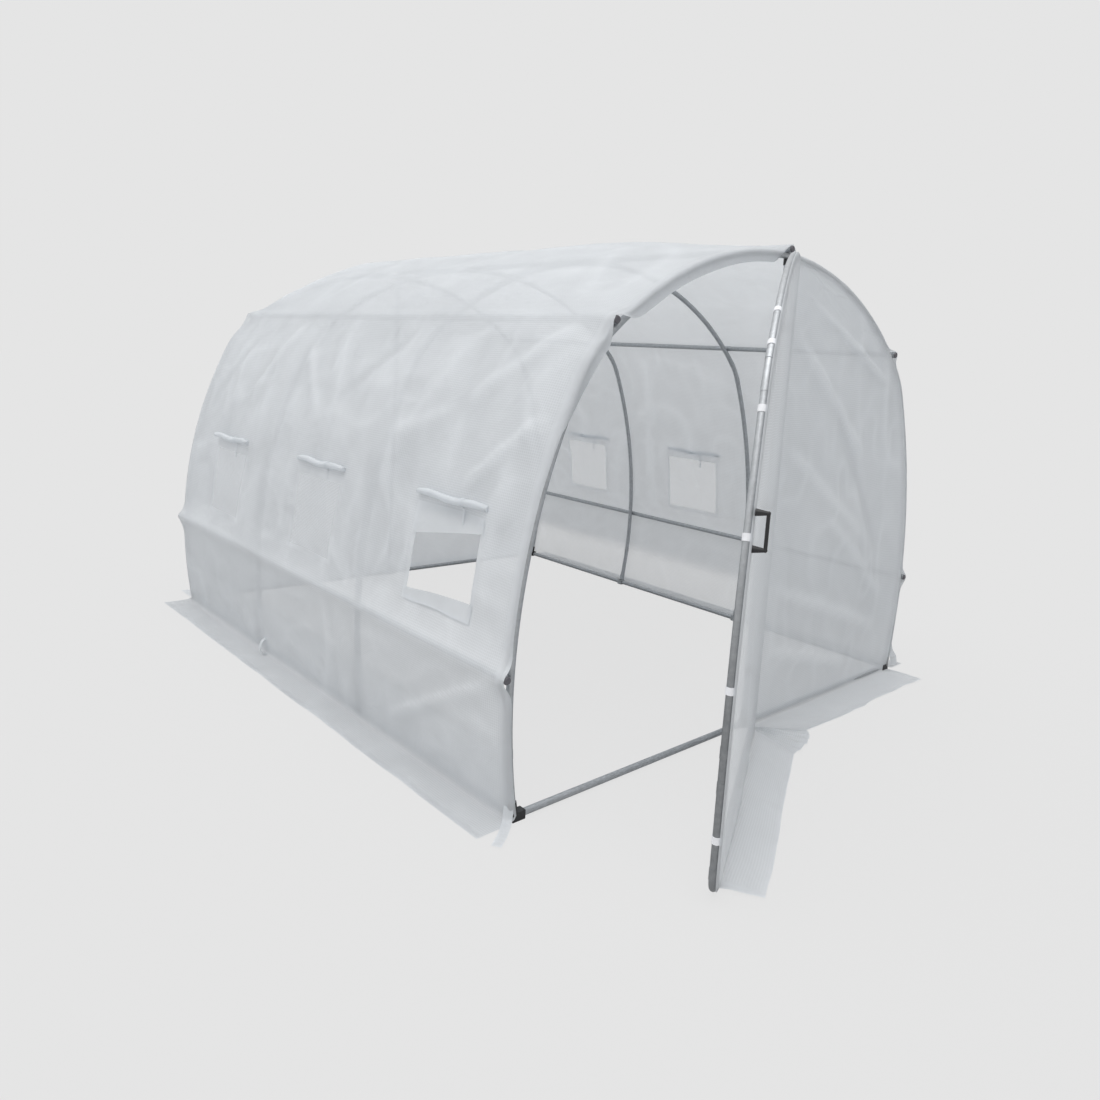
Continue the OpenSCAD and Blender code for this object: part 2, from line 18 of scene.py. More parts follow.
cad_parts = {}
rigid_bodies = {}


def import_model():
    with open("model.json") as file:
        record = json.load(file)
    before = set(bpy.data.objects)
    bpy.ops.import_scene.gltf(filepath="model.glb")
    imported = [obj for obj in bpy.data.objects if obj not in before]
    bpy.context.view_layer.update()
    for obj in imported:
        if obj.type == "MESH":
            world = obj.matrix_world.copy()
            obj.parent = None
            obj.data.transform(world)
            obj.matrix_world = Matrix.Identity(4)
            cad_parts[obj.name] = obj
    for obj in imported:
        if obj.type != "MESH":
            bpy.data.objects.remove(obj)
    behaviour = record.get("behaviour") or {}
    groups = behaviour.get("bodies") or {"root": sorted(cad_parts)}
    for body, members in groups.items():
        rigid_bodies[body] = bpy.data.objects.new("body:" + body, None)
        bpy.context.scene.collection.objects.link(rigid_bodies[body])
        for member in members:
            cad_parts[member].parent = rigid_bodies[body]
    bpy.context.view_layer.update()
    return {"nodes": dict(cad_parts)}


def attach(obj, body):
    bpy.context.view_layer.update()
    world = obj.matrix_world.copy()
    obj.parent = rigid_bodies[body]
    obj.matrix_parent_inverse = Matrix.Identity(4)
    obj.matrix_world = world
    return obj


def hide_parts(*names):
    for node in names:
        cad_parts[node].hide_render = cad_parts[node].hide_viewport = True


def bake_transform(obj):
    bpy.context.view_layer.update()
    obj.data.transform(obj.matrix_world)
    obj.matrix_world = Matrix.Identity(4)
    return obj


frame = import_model()
LOG = logging.getLogger("greenhouse")
Array = np.ndarray
Part = Union[bpy.types.NodeSocket, float, Sequence[float]]
LATTICE = 61  # cells of noise before it repeats
PANEL_FOLD_LIGHT = 0.0032  # lift that counts as a full crease in an upright panel, for its painted highlight and painted shade
WHITE = (1.0, 1.0, 1.0, 1.0)


class Side(Enum):
    """The two long sides of the tunnel, as the sign of X."""

    LEFT = -1
    RIGHT = 1


class Facing(Enum):
    """Which way an end panel faces, as the sign of Y."""

    FRONT = -1
    BACK = 1


def smooth(x: Array) -> Array:
    """Eases a value between 0 and 1.

    Args:
        x: values, clipped to 0 to 1.

    Returns:
        The eased values, flat at both ends.
    """
    x = np.clip(x, 0.0, 1.0)
    return x * x * (3.0 - 2.0 * x)


def value_noise(x: Array, y: Array, seed: int) -> Array:
    """Smooth noise: random values on a lattice, blended by a quintic ease in both directions.

    Args:
        x: place along the first direction, in lattice cells.
        y: place along the second direction, in lattice cells.
        seed: which lattice.

    Returns:
        Noise from about -1 to 1.
    """
    lattice = np.random.default_rng(seed).uniform(-1.0, 1.0, (LATTICE, LATTICE))
    x, y = np.broadcast_arrays(x, y)
    xi, yi = np.floor(x).astype(int), np.floor(y).astype(int)
    fx, fy = x - xi, y - yi
    fx = fx**3 * (fx * (fx * 6.0 - 15.0) + 10.0)
    fy = fy**3 * (fy * (fy * 6.0 - 15.0) + 10.0)
    left, right, near, far = (cell % LATTICE for cell in (xi, xi + 1, yi, yi + 1))
    low = lattice[left, near] * (1 - fx) + lattice[right, near] * fx
    high = lattice[left, far] * (1 - fx) + lattice[right, far] * fx
    return low * (1 - fy) + high * fy


def crumple(x: Array, y: Array, seed: int) -> Array:
    """Creased noise: one less the size of smooth noise, so that its zero lines become ridges.

    Args:
        x: place along the first direction, in lattice cells.
        y: place along the second direction, in lattice cells.
        seed: which lattice.

    Returns:
        Ridges from about -0.5 to 0.5.
    """
    warp = value_noise(x * 0.7 + 3.1, y * 0.7 + 7.7, seed + 1)
    return 0.5 - np.minimum(1.0, 1.6 * np.abs(value_noise(x + 0.6 * warp, y - 0.5 * warp, seed)))


def fold_light_mark(offsets: Array, scale: float, passes: int = 10) -> Array:
    """Where a sheet is creased, for painted shade in its valleys and a painted highlight on its ridges: how
    far it stands out from its own local mean.

    Args:
        offsets: rows by columns of distances from the taut shape.
        scale: the distance that counts as a full crease.
        passes: how many times the offsets are blurred to get the mean.

    Returns:
        Rows by columns, from -1 in valleys to 1 on ridges.
    """
    mean = np.pad(offsets, passes, mode="edge")
    for _ in range(passes):
        mean = 0.25 * mean[:-2] + 0.5 * mean[1:-1] + 0.25 * mean[2:]
        mean = 0.25 * mean[:, :-2] + 0.5 * mean[:, 1:-1] + 0.25 * mean[:, 2:]
    return np.clip((offsets - mean) / scale, -1.0, 1.0)


def grid_object(
    name: str,
    points: Array,
    uv: Array,
    keep: Array | None = None,
    flip: bool = False,
    marks: dict[str, Array] | None = None,
) -> bpy.types.Object:
    """Makes a mesh from a grid of points, with smooth shading.

    Args:
        name: the piece's name.
        points: rows by columns by three places.
        uv: rows by columns by two cloth coordinates, in metres.
        keep: which cells of the grid are filled, or all of them.
        flip: turns the faces over.
        marks: values per point, stored as attributes of those names.

    Returns:
        The new object, at the origin and unturned.
    """
    rows, cols = points.shape[:2]
    index = np.arange(rows * cols).reshape(rows, cols)
    quads = np.stack([index[:-1, :-1], index[:-1, 1:], index[1:, 1:], index[1:, :-1]], axis=-1)
    quads = quads.reshape(-1, 4) if keep is None else quads[keep]
    if flip:
        quads = quads[:, ::-1]
    used, quads_flat = np.unique(quads, return_inverse=True)
    quads = quads_flat.reshape(-1, 4)
    mesh = bpy.data.meshes.new(name)
    mesh.from_pydata(points.reshape(-1, 3)[used].tolist(), [], quads.tolist())
    layer = mesh.uv_layers.new(name="cloth")
    layer.data.foreach_set("uv", uv.reshape(-1, 2)[used][quads.reshape(-1)].astype(np.float32).ravel())
    for mark, values in (marks or {}).items():
        attribute = mesh.attributes.new(mark, "FLOAT", "POINT")
        attribute.data.foreach_set("value", values.reshape(-1)[used].astype(np.float32))
    mesh.polygons.foreach_set("use_smooth", np.ones(len(quads), dtype=bool))
    mesh.update()
    piece = bpy.data.objects.new(name, mesh)
    bpy.context.scene.collection.objects.link(piece)
    return piece


def flat_uv(points: Array) -> Array:
    """Cloth coordinates of a grid: lengths along its rows and columns.

    Args:
        points: rows by columns by three places.

    Returns:
        Rows by columns by two lengths in metres, along the columns and along the rows.
    """
    across = np.linalg.norm(np.diff(points, axis=1), axis=2)
    along = np.linalg.norm(np.diff(points, axis=0), axis=2)
    u = np.concatenate([np.zeros((points.shape[0], 1)), np.cumsum(across, axis=1)], axis=1)
    v = np.concatenate([np.zeros((1, points.shape[1])), np.cumsum(along, axis=0)], axis=0)
    return np.stack([u, v], axis=-1)


def both_halves(rows: Array, mirror: Array | float = 1.0) -> Array:
    """Joins the left half, which is the right one mirrored, to the right half taken back down.

    Args:
        rows: the right half, from its skirt up to the ridge.
        mirror: what the left half is multiplied by.

    Returns:
        The rows from the left skirt over the ridge to the right one.
    """
    return np.concatenate([rows * mirror, rows[-2::-1]])


def upright_rows(plan: Array, height: Array) -> Array:
    """Repeats a line of the ground plan at each height.

    Args:
        plan: X and Y of each column.
        height: Z of each row.

    Returns:
        Rows by columns by three places.
    """
    shape = (len(height), len(plan))
    level = np.broadcast_to(height[:, None, None], (*shape, 1))
    return np.concatenate([np.broadcast_to(plan, (*shape, 2)), level], axis=-1)


def round_tube(edge: Array, normal: Array, radius: float, turn: Array) -> Array:
    """An edge that turns round a tube: a circle about each point of its centre line.

    Args:
        edge: X and Z of the centre line.
        normal: outward directions there.
        radius: the circle's radius.
        turn: angles from the outside to the face, in radians.

    Returns:
        Rows by columns of X, depth towards the face, and Z.
    """
    flat = edge[:, None, :] + radius * np.cos(turn)[None, :, None] * normal[:, None, :]
    depth = np.broadcast_to(radius * np.sin(turn)[None, :], flat.shape[:2])
    return np.stack([flat[..., 0], depth, flat[..., 1]], axis=-1)


def panel_marks(
    lift: Array, skirt_rows: int, wrap_cols: int, hems: tuple[int, int], gain: float
) -> dict[str, Array]:
    """Where an upright panel is doubled, at its sides and its skirt's edge, and where it is creased, for a
    painted highlight on the ridges and painted shade in the valleys.

    Args:
        lift: the upright part's offsets, without the wrapped sides.
        skirt_rows: how many rows lie below them.
        wrap_cols: how many columns are wrapped at each side.
        hems: how many columns are doubled at each side.
        gain: how strongly the painted highlight and shade of its creases show.

    Returns:
        The attributes' values per point.
    """
    # painted highlight on crease ridges and painted shade in crease valleys, carried into the film's colour
    crease = gain * fold_light_mark(lift, PANEL_FOLD_LIGHT)
    crease = np.pad(crease, ((skirt_rows, 0), (wrap_cols, wrap_cols)))
    hem = np.zeros(crease.shape)
    hem[:2] = 1.0
    hem[:, : hems[0]] = 1.0
    hem[:, -hems[1] :] = 1.0
    return {"hem": hem, "crease": crease}


def dress(piece: bpy.types.Object, material: bpy.types.Material, slot: str) -> None:
    """Gives one piece its only material.

    Args:
        piece: the piece.
        material: its finish.
        slot: the record's slot; not used.
    """
    piece.data.materials.clear()
    piece.data.materials.append(material)
    piece.data.polygons.foreach_set("material_index", np.zeros(len(piece.data.polygons), dtype=np.int32))


def circle_through(p: Array, q: Array, s: Array) -> tuple[Array, float]:
    """The circle through three points of a plane.

    Args:
        p: first point.
        q: second point.
        s: third point.

    Returns:
        Its centre and radius.
    """
    lines = 2.0 * np.array([q - p, s - p])
    centre = np.linalg.solve(lines, np.array([q @ q - p @ p, s @ s - p @ p]))
    return centre, float(np.linalg.norm(p - centre))


@dataclass(frozen=True)
class HoopShape:
    """The centre line of a hoop's right half: a side bend, a shoulder bend and a roof bend."""

    half_width: float = 1.25
    ridge: float = 1.985
    side_radius: float = 2.33
    roof_radius: float = 1.4
    roof_half: float = math.radians(47.9)
    shoulder_radius: float = 0.35
    tube: float = 0.0125

    @property
    def roof_centre(self) -> Array:
        """Centre of the roof bend, as X and Z."""
        return np.array([0.0, self.ridge - self.roof_radius])

    @property
    def side_centre(self) -> Array:
        """Centre of the side bend, which runs from the foot to the roof's corner.

        Returns:
            X and Z.
        """
        way = np.array([math.sin(self.roof_half), math.cos(self.roof_half)])
        corner = self.roof_centre + self.roof_radius * way
        foot = np.array([self.half_width, 0.0])
        span = np.linalg.norm(corner - foot)
        way = (corner - foot) / span
        bulge = math.sqrt(self.side_radius**2 - span**2 / 4)
        return (corner + foot) / 2 + bulge * np.array([-way[1], way[0]])

    @property
    def shoulder_centre(self) -> Array:
        """Centre of the shoulder bend, tangent to the other two.

        Returns:
            X and Z.
        """
        apart = self.roof_centre - self.side_centre
        span = np.linalg.norm(apart)
        way = apart / span
        side, roof = self.side_radius - self.shoulder_radius, self.roof_radius - self.shoulder_radius
        along = (side**2 - roof**2 + span**2) / (2 * span)
        return self.side_centre + along * way + math.sqrt(side**2 - along**2) * np.array([-way[1], way[0]])

    @property
    def turns(self) -> tuple[float, float]:
        """Angles at which the side ends and the roof starts.

        Returns:
            The two angles in radians.
        """
        one = self.shoulder_centre - self.side_centre
        two = self.shoulder_centre - self.roof_centre
        return math.atan2(one[1], one[0]), math.atan2(two[1], two[0])

    def side_angle(self, z: float, offset: float = 0.0) -> float:
        """Angle on the side bend at a height.

        Args:
            z: the height.
            offset: how far outside the centre line.

        Returns:
            The angle in radians.
        """
        return math.asin((z - self.side_centre[1]) / (self.side_radius + offset))

    def on_side(self, angle: float, offset: float) -> Array:
        """A point by the side bend.

        Args:
            angle: place on the bend, in radians.
            offset: how far outside the centre line.

        Returns:
            X and Z.
        """
        return self.side_centre + (self.side_radius + offset) * np.array([math.cos(angle), math.sin(angle)])

    def on_roof(self, angle: float, offset: float) -> Array:
        """A point by the roof bend.

        Args:
            angle: place on the bend, in radians.
            offset: how far outside the centre line.

        Returns:
            X and Z.
        """
        return self.roof_centre + (self.roof_radius + offset) * np.array([math.cos(angle), math.sin(angle)])

    def walk(self, start: float, end: float, count: int, offset: float = 0.0) -> tuple[Array, Array]:
        """Points evenly spaced along the line: each bend is a circle, taken at its own angle.

        Args:
            start: angle on the side bend to start at.
            end: angle on the roof bend to end at.
            count: how many points.
            offset: how far outside the centre line.

        Returns:
            The points and their outward directions, as X and Z.
        """
        side_end, roof_start = self.turns
        centres = np.array([self.side_centre, self.shoulder_centre, self.roof_centre])
        radii = np.array([self.side_radius, self.shoulder_radius, self.roof_radius]) + offset
        lengths = radii * np.array([side_end - start, roof_start - side_end, end - roof_start])
        s = np.linspace(0.0, lengths.sum(), count)
        which = (s > lengths[0]).astype(int) + (s > lengths[0] + lengths[1]).astype(int)
        begins = np.array([start, side_end, roof_start])
        passed = np.array([0.0, lengths[0], lengths[0] + lengths[1]])
        angle = begins[which] + (s - passed[which]) / radii[which]
        outward = np.stack([np.cos(angle), np.sin(angle)], axis=1)
        return centres[which] + radii[which, None] * outward, outward

    def nearest(self, points: Array) -> tuple[Array, Array]:
        """Nearest points of the centre line, for points on its right half.

        Args:
            points: X and Z of each.

        Returns:
            The nearest points and the outward directions there.
        """
        side_end, roof_start = self.turns
        off = points - self.shoulder_centre
        angle = np.arctan2(off[:, 1], off[:, 0])
        which = (angle > side_end).astype(int) + (angle > roof_start).astype(int)
        centres = np.array([self.side_centre, self.shoulder_centre, self.roof_centre])[which]
        radii = np.array([self.side_radius, self.shoulder_radius, self.roof_radius])[which]
        outward = points - centres
        outward /= np.linalg.norm(outward, axis=1, keepdims=True)
        return centres + radii[:, None] * outward, outward


@dataclass(frozen=True)
class Fold:
    """A straight crease in a sheet, from one place to another, in the sheet's two coordinates."""

    start: tuple[float, float]
    end: tuple[float, float]
    width: float
    height: float

    def lift(self, a: Array, b: Array) -> Array:
        """How far the crease lifts the cloth: a rounded ridge across it that fades at its ends.

        Args:
            a: first coordinate.
            b: second coordinate.

        Returns:
            The lift in metres.
        """
        way = np.array(self.end) - np.array(self.start)
        length = float(np.linalg.norm(way))
        way = way / length
        along = ((a - self.start[0]) * way[0] + (b - self.start[1]) * way[1]) / length
        across = (a - self.start[0]) * -way[1] + (b - self.start[1]) * way[0]
        ends = smooth(along / 0.25) * smooth((1.0 - along) / 0.25)
        return self.height * ends / (1.0 + (across / self.width) ** 2)


@dataclass(frozen=True)
class Ruck:
    """One layer of a sheet's slack: a height times noise in slanted cells, soft or creased."""

    height: float
    cells: tuple[float, float]
    slant: tuple[float, float] = (0.0, 0.0)
    seed: int = 0
    creased: bool = False
    shift: float = 0.0

    def lift(self, a: Array, b: Array, seed: int = 0) -> Array:
        """How far the layer lifts the cloth: noise of each coordinate, in cells, slanted by the other.

        Args:
            a: first coordinate.
            b: second coordinate.
            seed: added to the layer's own seed.

        Returns:
            The lift in metres.
        """
        noise = crumple if self.creased else value_noise
        first = a / self.cells[0] + self.slant[0] * b + self.shift
        second = b / self.cells[1] + self.slant[1] * a
        return self.height * noise(first, second, seed + self.seed)


@dataclass(frozen=True)
class Table:
    """A value given at some stations of the cover's profile, straight between them.

    A station is a strip's number plus the way along it: skirt, lower wall, ledge, window band,
    upper wall and roof.
    """

    stations: tuple[float, ...]
    values: tuple[float, ...]

    def at(self, station: Array) -> Array:
        """The value at each station."""
        return np.interp(station, self.stations, self.values)


@dataclass(frozen=True)
class Rows:
    """What the cover's rows have, from the left skirt's edge over the ridge to the right one's.

    Places are X and Z, line and normal are the hoop's beside each row, down is the length from the
    ridge and side the sign of X.
    """

    profile: Array
    outward: Array
    line: Array
    normal: Array
    station: Array
    down: Array
    side: Array

    def down_at(self, station: float) -> float:
        """Length down from the ridge at a station."""
        half = len(self.station) // 2 + 1
        return float(np.interp(station, self.station[:half], self.down[:half]))


@dataclass
class SubAssembly:
    """Pieces of cloth that are built together, and dressed and reported in one go."""

    pieces: list[bpy.types.Object] = field(default_factory=list, init=False)
    rides: bool = field(default=True, init=False)

    def dress(self, film: bpy.types.Material) -> None:
        """Gives each piece its film, a ride on the tunnel if it has none yet, and a line in the log.

        Args:
            film: the pieces' finish.
        """
        for piece in self.pieces:
            dress(piece, film, "woven_cover")
            if self.rides and piece.parent is None:
                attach(piece, "tunnel")
            LOG.info("%s: %d faces", piece.name, len(piece.data.polygons))


LEFT_FOLDS = (
    Fold((-0.12, 2.22), (0.80, 2.70), 0.018, 0.015),
    Fold((0.02, 1.42), (0.44, 1.74), 0.022, 0.014),
    Fold((0.05, 1.05), (0.55, 1.42), 0.030, 0.012),
    Fold((0.55, 1.42), (0.95, 1.62), 0.030, 0.008),
    Fold((1.05, 1.10), (1.50, 1.50), 0.035, -0.010),
    Fold((1.95, 1.20), (1.55, 1.60), 0.030, 0.010),
    Fold((2.10, 1.05), (2.35, 1.60), 0.035, 0.012),
    Fold((2.55, 1.10), (2.90, 1.70), 0.030, -0.009),
)


@dataclass
class Cover(SubAssembly):
    """The one sheet over both sides and the roof, with its skirts, windows and end hems."""

    hoop: HoopShape
    length: float = 3.0
    bay: float = 1.0
    skirt: float = 0.14
    skirt_height: float = 0.0026
    ground_gap: float = 0.0024
    lower_height: float = 0.5
    shoulder_up: float = 0.092
    window_centre: float = 0.44
    window_width: float = 0.38
    window_sill: float = 0.62
    window_head: float = 0.935
    near_hoop: float = 0.0155
    over_tube: float = 0.04205
    foot_lean: float = 0.0237
    wall_foot: float = 0.031
    wall_ease: float = 0.002
    low_ease: float = 0.008
    tube_ease: float = 0.003
    tube_stations: tuple[float, ...] = (2.0, 5.0, 6.0)
    tube_reach: tuple[float, ...] = (0.060, 0.065, 0.060)
    sheet_gap: float = 0.0022
    sleeve: float = 0.0158
    sleeve_foot: float = 0.0020
    hem_cols: int = 11
    hem_pitch: float = 0.006
    hem_pull: float = 0.12
    flat_hem: float = 0.0215
    end_fold: float = 0.06
    end_hem: float = 0.03
    window_hem: float = 0.024
    # strength and scale of the painted highlight on crease ridges and painted shade in crease valleys
    crease_gain: float = 1.35
    crease_scale: float = 0.0026
    pleat_height: float = 0.0030
    pleat_width: float = 0.038
    counts: tuple[int, ...] = (8, 30, 10, 22, 42, 46)
    pitch: float = 0.0165
    bow: Table = Table(
        (0.0, 1.0, 1.5, 2.0, 2.6, 3.0, 3.5, 4.0, 4.5, 4.9, 5.0, 5.5, 6.0),
        (0.0, 0.0, 0.012, 0.0, 0.012, 0.017, 0.020, 0.020, 0.022, 0.006, 0.0, 0.004, 0.0),
    )
    free: Table = Table(
        (0.0, 0.9, 1.15, 1.8, 2.0, 2.5, 3.0, 4.0, 4.85, 5.0, 5.2, 5.8, 6.0),
        (0.5, 0.2, 0.7, 0.6, 0.08, 0.6, 1.0, 1.0, 0.7, 0.1, 0.45, 0.4, 0.1),
    )
    puff: Table = Table((4.9, 5.0, 5.3, 5.6, 5.85, 6.0), (0.0, 0.002, 0.045, 0.062, 0.050, 0.036))
    closed_reach: Table = Table((1.0, 3.8, 4.6, 5.0, 6.0), (122.0, 118.0, 165.0, 205.0, 205.0))
    door_reach: Table = Table(
        (1.0, 2.0, 2.4, 3.0, 4.2, 4.45, 4.6, 5.0, 6.0),
        (92.0, 86.0, 62.0, 48.0, 46.0, 66.0, 165.0, 215.0, 215.0),
    )
    dust: Table = Table((0.0, 0.97, 1.03, 1.97, 2.0), (1.0, 1.0, 0.4, 0.4, 0.0))
    rucks: tuple[Ruck, ...] = (
        Ruck(0.0080, (0.42, 0.34), seed=3),
        Ruck(0.0045, (0.17, 0.15), seed=11, shift=5.0),
        Ruck(0.0130, (0.46, 0.40), (0.45, -0.5), 21, creased=True),
        Ruck(0.0046, (0.16, 0.19), (0.8, 0.0), 33, creased=True),
        Ruck(0.0007, (0.03, 0.035), seed=5),
    )
    folds: tuple[Fold, ...] = LEFT_FOLDS
    strips: tuple[str, ...] = (
        "lower_cover",
        "wall_below_windows",
        "wall_between_windows",
        "wall_above_windows",
        "roof_cover",
        "skirt",
    )
    points: Array = field(init=False)
    hole: Array = field(init=False)

    @property
    def wall(self) -> float:
        """How far the window band lies outside the hoop's centre line."""
        return self.near_hoop + self.wall_ease

    @property
    def rise(self) -> float:
        """Angle of the shoulder tube on the roof bend."""
        return self.hoop.turns[1] + self.shoulder_up / self.hoop.roof_radius

    def knots(self) -> list[Array]:
        """Points of the right half's profile that its strips start and end at.

        Returns:
            The skirt's edge, the foot, the lower tube, the sill, the head, the shoulder tube and the ridge.
        """
        hoop = self.hoop
        foot = np.array([hoop.half_width + self.foot_lean, self.skirt_height])
        lower = hoop.on_side(hoop.side_angle(self.lower_height), self.over_tube)
        sill = hoop.on_side(hoop.side_angle(self.window_sill, self.wall), self.wall)
        head = hoop.on_side(hoop.side_angle(self.window_head, self.wall), self.wall)
        shoulder = hoop.on_roof(self.rise, self.over_tube)
        ridge = np.array([0.0, hoop.ridge + self.over_tube])
        return [foot + np.array([self.skirt, 0.0]), foot, lower, sill, head, shoulder, ridge]

    def half_profile(self) -> tuple[Array, Array]:
        """The right half's profile: arcs through three points each, from the skirt up to the ridge.

        Returns:
            The points, and for each the strip's number plus the way along it.
        """
        hoop = self.hoop
        knots = self.knots()
        heights = (self.wall_foot, self.lower_height, self.window_sill, self.window_head)
        angles = [hoop.side_angle(height) for height in heights]
        low, ledge, band = ((below + above) / 2 for below, above in zip(angles[:-1], angles[1:]))
        middles = [
            None,
            hoop.on_side(low, self.near_hoop + self.low_ease),
            hoop.on_side(ledge, 0.45 * self.over_tube + 0.55 * self.wall),
            hoop.on_side(band, self.wall),
            hoop.on_side(hoop.turns[0], self.near_hoop + hoop.tube),
            hoop.on_roof((self.rise + math.pi / 2) / 2, self.near_hoop),
        ]
        strips, stations = [], []
        for k, (begin, middle, end, count) in enumerate(zip(knots[:-1], middles, knots[1:], self.counts)):
            t = np.linspace(0.0, 1.0, count + 1)[: count + (k == len(middles) - 1)]
            if middle is None:
                strips.append(begin + t[:, None] * (end - begin))
            else:
                centre, radius = circle_through(begin, middle, end)
                first, last = (math.atan2(*(p - centre)[::-1]) for p in (begin, end))
                angle = first + t * (last - first)
                strips.append(centre + radius * np.stack([np.cos(angle), np.sin(angle)], axis=1))
            stations.append(k + t)
        return np.concatenate(strips), np.concatenate(stations)

    def columns(self) -> tuple[Array, Array]:
        """Places along the tunnel, with one on each edge of a window.

        Returns:
            The places, and for each cell between them whether it is in a window's width.
        """
        edges, inside = [0.0], []
        for k in range(round(self.length / self.bay)):
            near = k * self.bay + self.window_centre - self.window_width / 2
            for end, window in ((near, False), (near + self.window_width, True)):
                edges.append(end)
                inside.append(window)
        edges.append(self.length)
        inside.append(False)
        places, cells = [], []
        for begin, end, window in zip(edges[:-1], edges[1:], inside):
            count = max(2, round((end - begin) / self.pitch))
            places.append(np.linspace(begin, end, count + 1)[:-1])
            cells += [window] * count
        return np.append(np.concatenate(places), self.length), np.array(cells)

    def rows(self) -> Rows:
        """The rows over both halves: the half profile is smoothed, measured from the ridge and mirrored.

        Returns:
            What each row has.
        """
        half, station = self.half_profile()
        for _ in range(2):
            half[1:-1] = 0.25 * half[:-2] + 0.5 * half[1:-1] + 0.25 * half[2:]
        step = np.linalg.norm(np.diff(half, axis=0), axis=1)
        down = step.sum() - np.concatenate([[0.0], np.cumsum(step)])
        way = np.gradient(half, axis=0)
        outward = np.stack([way[:, 1], -way[:, 0]], axis=1)
        outward /= np.linalg.norm(outward, axis=1, keepdims=True)
        mirror = np.array([-1.0, 1.0])
        places = (both_halves(part, mirror) for part in (half, outward, *self.hoop.nearest(half)))
        side = np.concatenate([-np.ones(len(half)), np.ones(len(half) - 1)])
        return Rows(*places, both_halves(station), both_halves(down), side)

    def slack(self, rows: Rows, y: Array) -> Array:
        """How far the cloth lies outside its taut shape, negative inwards.

        Air under the roof, a bow between the hoops, soft and creased noise, pleats under the shoulder
        tube and single folds are added, and fade out at the tubes that the cloth is stretched over.

        Args:
            rows: the cover's rows.
            y: place along the tunnel, per column.

        Returns:
            Rows by columns of offsets, not further in than the hoops leave room for.
        """
        station, down = rows.station, rows.down[:, None]
        bow, free, puff = (table.at(station)[:, None] for table in (self.bow, self.free, self.puff))
        along = np.abs(np.sin(math.pi * y / self.bay))[None, :]
        swell = (smooth(y / 0.75) * smooth((self.length - y) / 0.30))[None, :]
        out = puff * swell - bow * along**1.4
        a, b = down * rows.side[:, None], y[None, :]
        wave = sum(ruck.lift(a, b) for ruck in self.rucks)
        pleat = (np.exp(-np.abs(station - 4.97) / 0.22) * (station < 5.0))[:, None]
        wave = wave + self.pleat_height * pleat * value_noise(a * 2.0, b / self.pleat_width, 41)
        near = 0.45 + 0.55 * smooth(along / 0.4)
        out = out + free * near * wave
        held = np.minimum(1.0, free * 1.6)
        for fold in self.folds:
            out = out + np.where(rows.side[:, None] < 0, fold.lift(b, down), 0.0) * held
        return np.maximum(out, -0.001 - 0.05 * along**1.2)

    def build(self) -> None:
        """Makes the sheet: the profile is swept along the tunnel, slackened, and hemmed round the end hoops.

        It stands for all of its strips and side skirts in the frame.
        """
        rows = self.rows()
        y, window = self.columns()
        tubes = np.array([rows.down_at(station) for station in self.tube_stations])
        lift = np.exp(-(((rows.down[:, None] - tubes) / np.array(self.tube_reach)) ** 2)).max(axis=1)
        slack = self.slack(rows, y) + self.sheet_gap / 2 + self.tube_ease * lift[:, None] ** 4
        base = rows.profile[:, None, :] + slack[:, :, None] * rows.outward[:, None, :]
        hem = (1.0 - lift) * smooth((rows.station - 0.98) / 0.04)
        shell = rows.line + self.sleeve_radius(rows.line[:, 1])[:, None] * rows.normal
        ends = np.maximum(1.0 - smooth(y / self.hem_pull), 1.0 - smooth((self.length - y) / self.hem_pull))
        pull = (hem[:, None] * ends[None, :])[:, :, None]
        flat = base * (1.0 - pull) + shell[:, None, :] * pull
        along = np.broadcast_to(y, flat.shape[:2])
        body = np.stack([flat[..., 0], along, np.maximum(flat[..., 1], self.ground_gap)], axis=-1)
        front = self.wrap(body[:, 0], rows, hem, rows.station * -rows.side, Facing.FRONT)
        back = self.wrap(body[:, -1], rows, hem, -rows.station, Facing.BACK)
        self.points = np.concatenate([front[:, ::-1], body, back], axis=1)
        self.hole = self.holes(rows, window)
        over = self.hem_pitch * np.arange(1, self.hem_cols + 1)
        run = np.concatenate([-over[::-1], y, self.length + over])
        uv = np.stack(np.broadcast_arrays((rows.down * rows.side)[:, None], run[None, :]), axis=-1)
        piece = grid_object("woven_cover", self.points, uv, ~self.hole, marks=self.marks(rows, slack, y))
        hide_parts(*[f"{side.name.lower()}_{strip}" for side in Side for strip in self.strips])
        self.pieces.append(piece)

    def holes(self, rows: Rows, window: Array) -> Array:
        """Which cells are window: those of the window band that are in a window's width.

        Args:
            rows: the cover's rows.
            window: for each cell between the hems, whether it is in a window's width.

        Returns:
            Rows by columns of cells.
        """
        rising = np.floor(rows.station + 1e-9) == 3
        falling = np.roll(np.floor(rows.station - 1e-9) == 3, -1)
        band = np.where(rows.side < 0, rising, falling)[:-1]
        return np.pad(band[:, None] & window[None, :], ((0, 0), (self.hem_cols, self.hem_cols)))

    def marks(self, rows: Rows, slack: Array, y: Array) -> dict[str, Array]:
        """Where the cloth is doubled, creased, sheer and dusty: each follows the station. Creases get a
        painted highlight on ridges and painted shade in valleys, and the band above the lower tube a painted
        highlight.

        Args:
            rows: the cover's rows.
            slack: the offsets between the hems.
            y: place along the tunnel between the hems, per column.

        Returns:
            The attributes' values per point.
        """
        station = rows.station
        # painted highlight on crease ridges and painted shade in crease valleys
        crease = np.pad(fold_light_mark(slack, self.crease_scale, 14), ((0, 0), (self.hem_cols, self.hem_cols)))
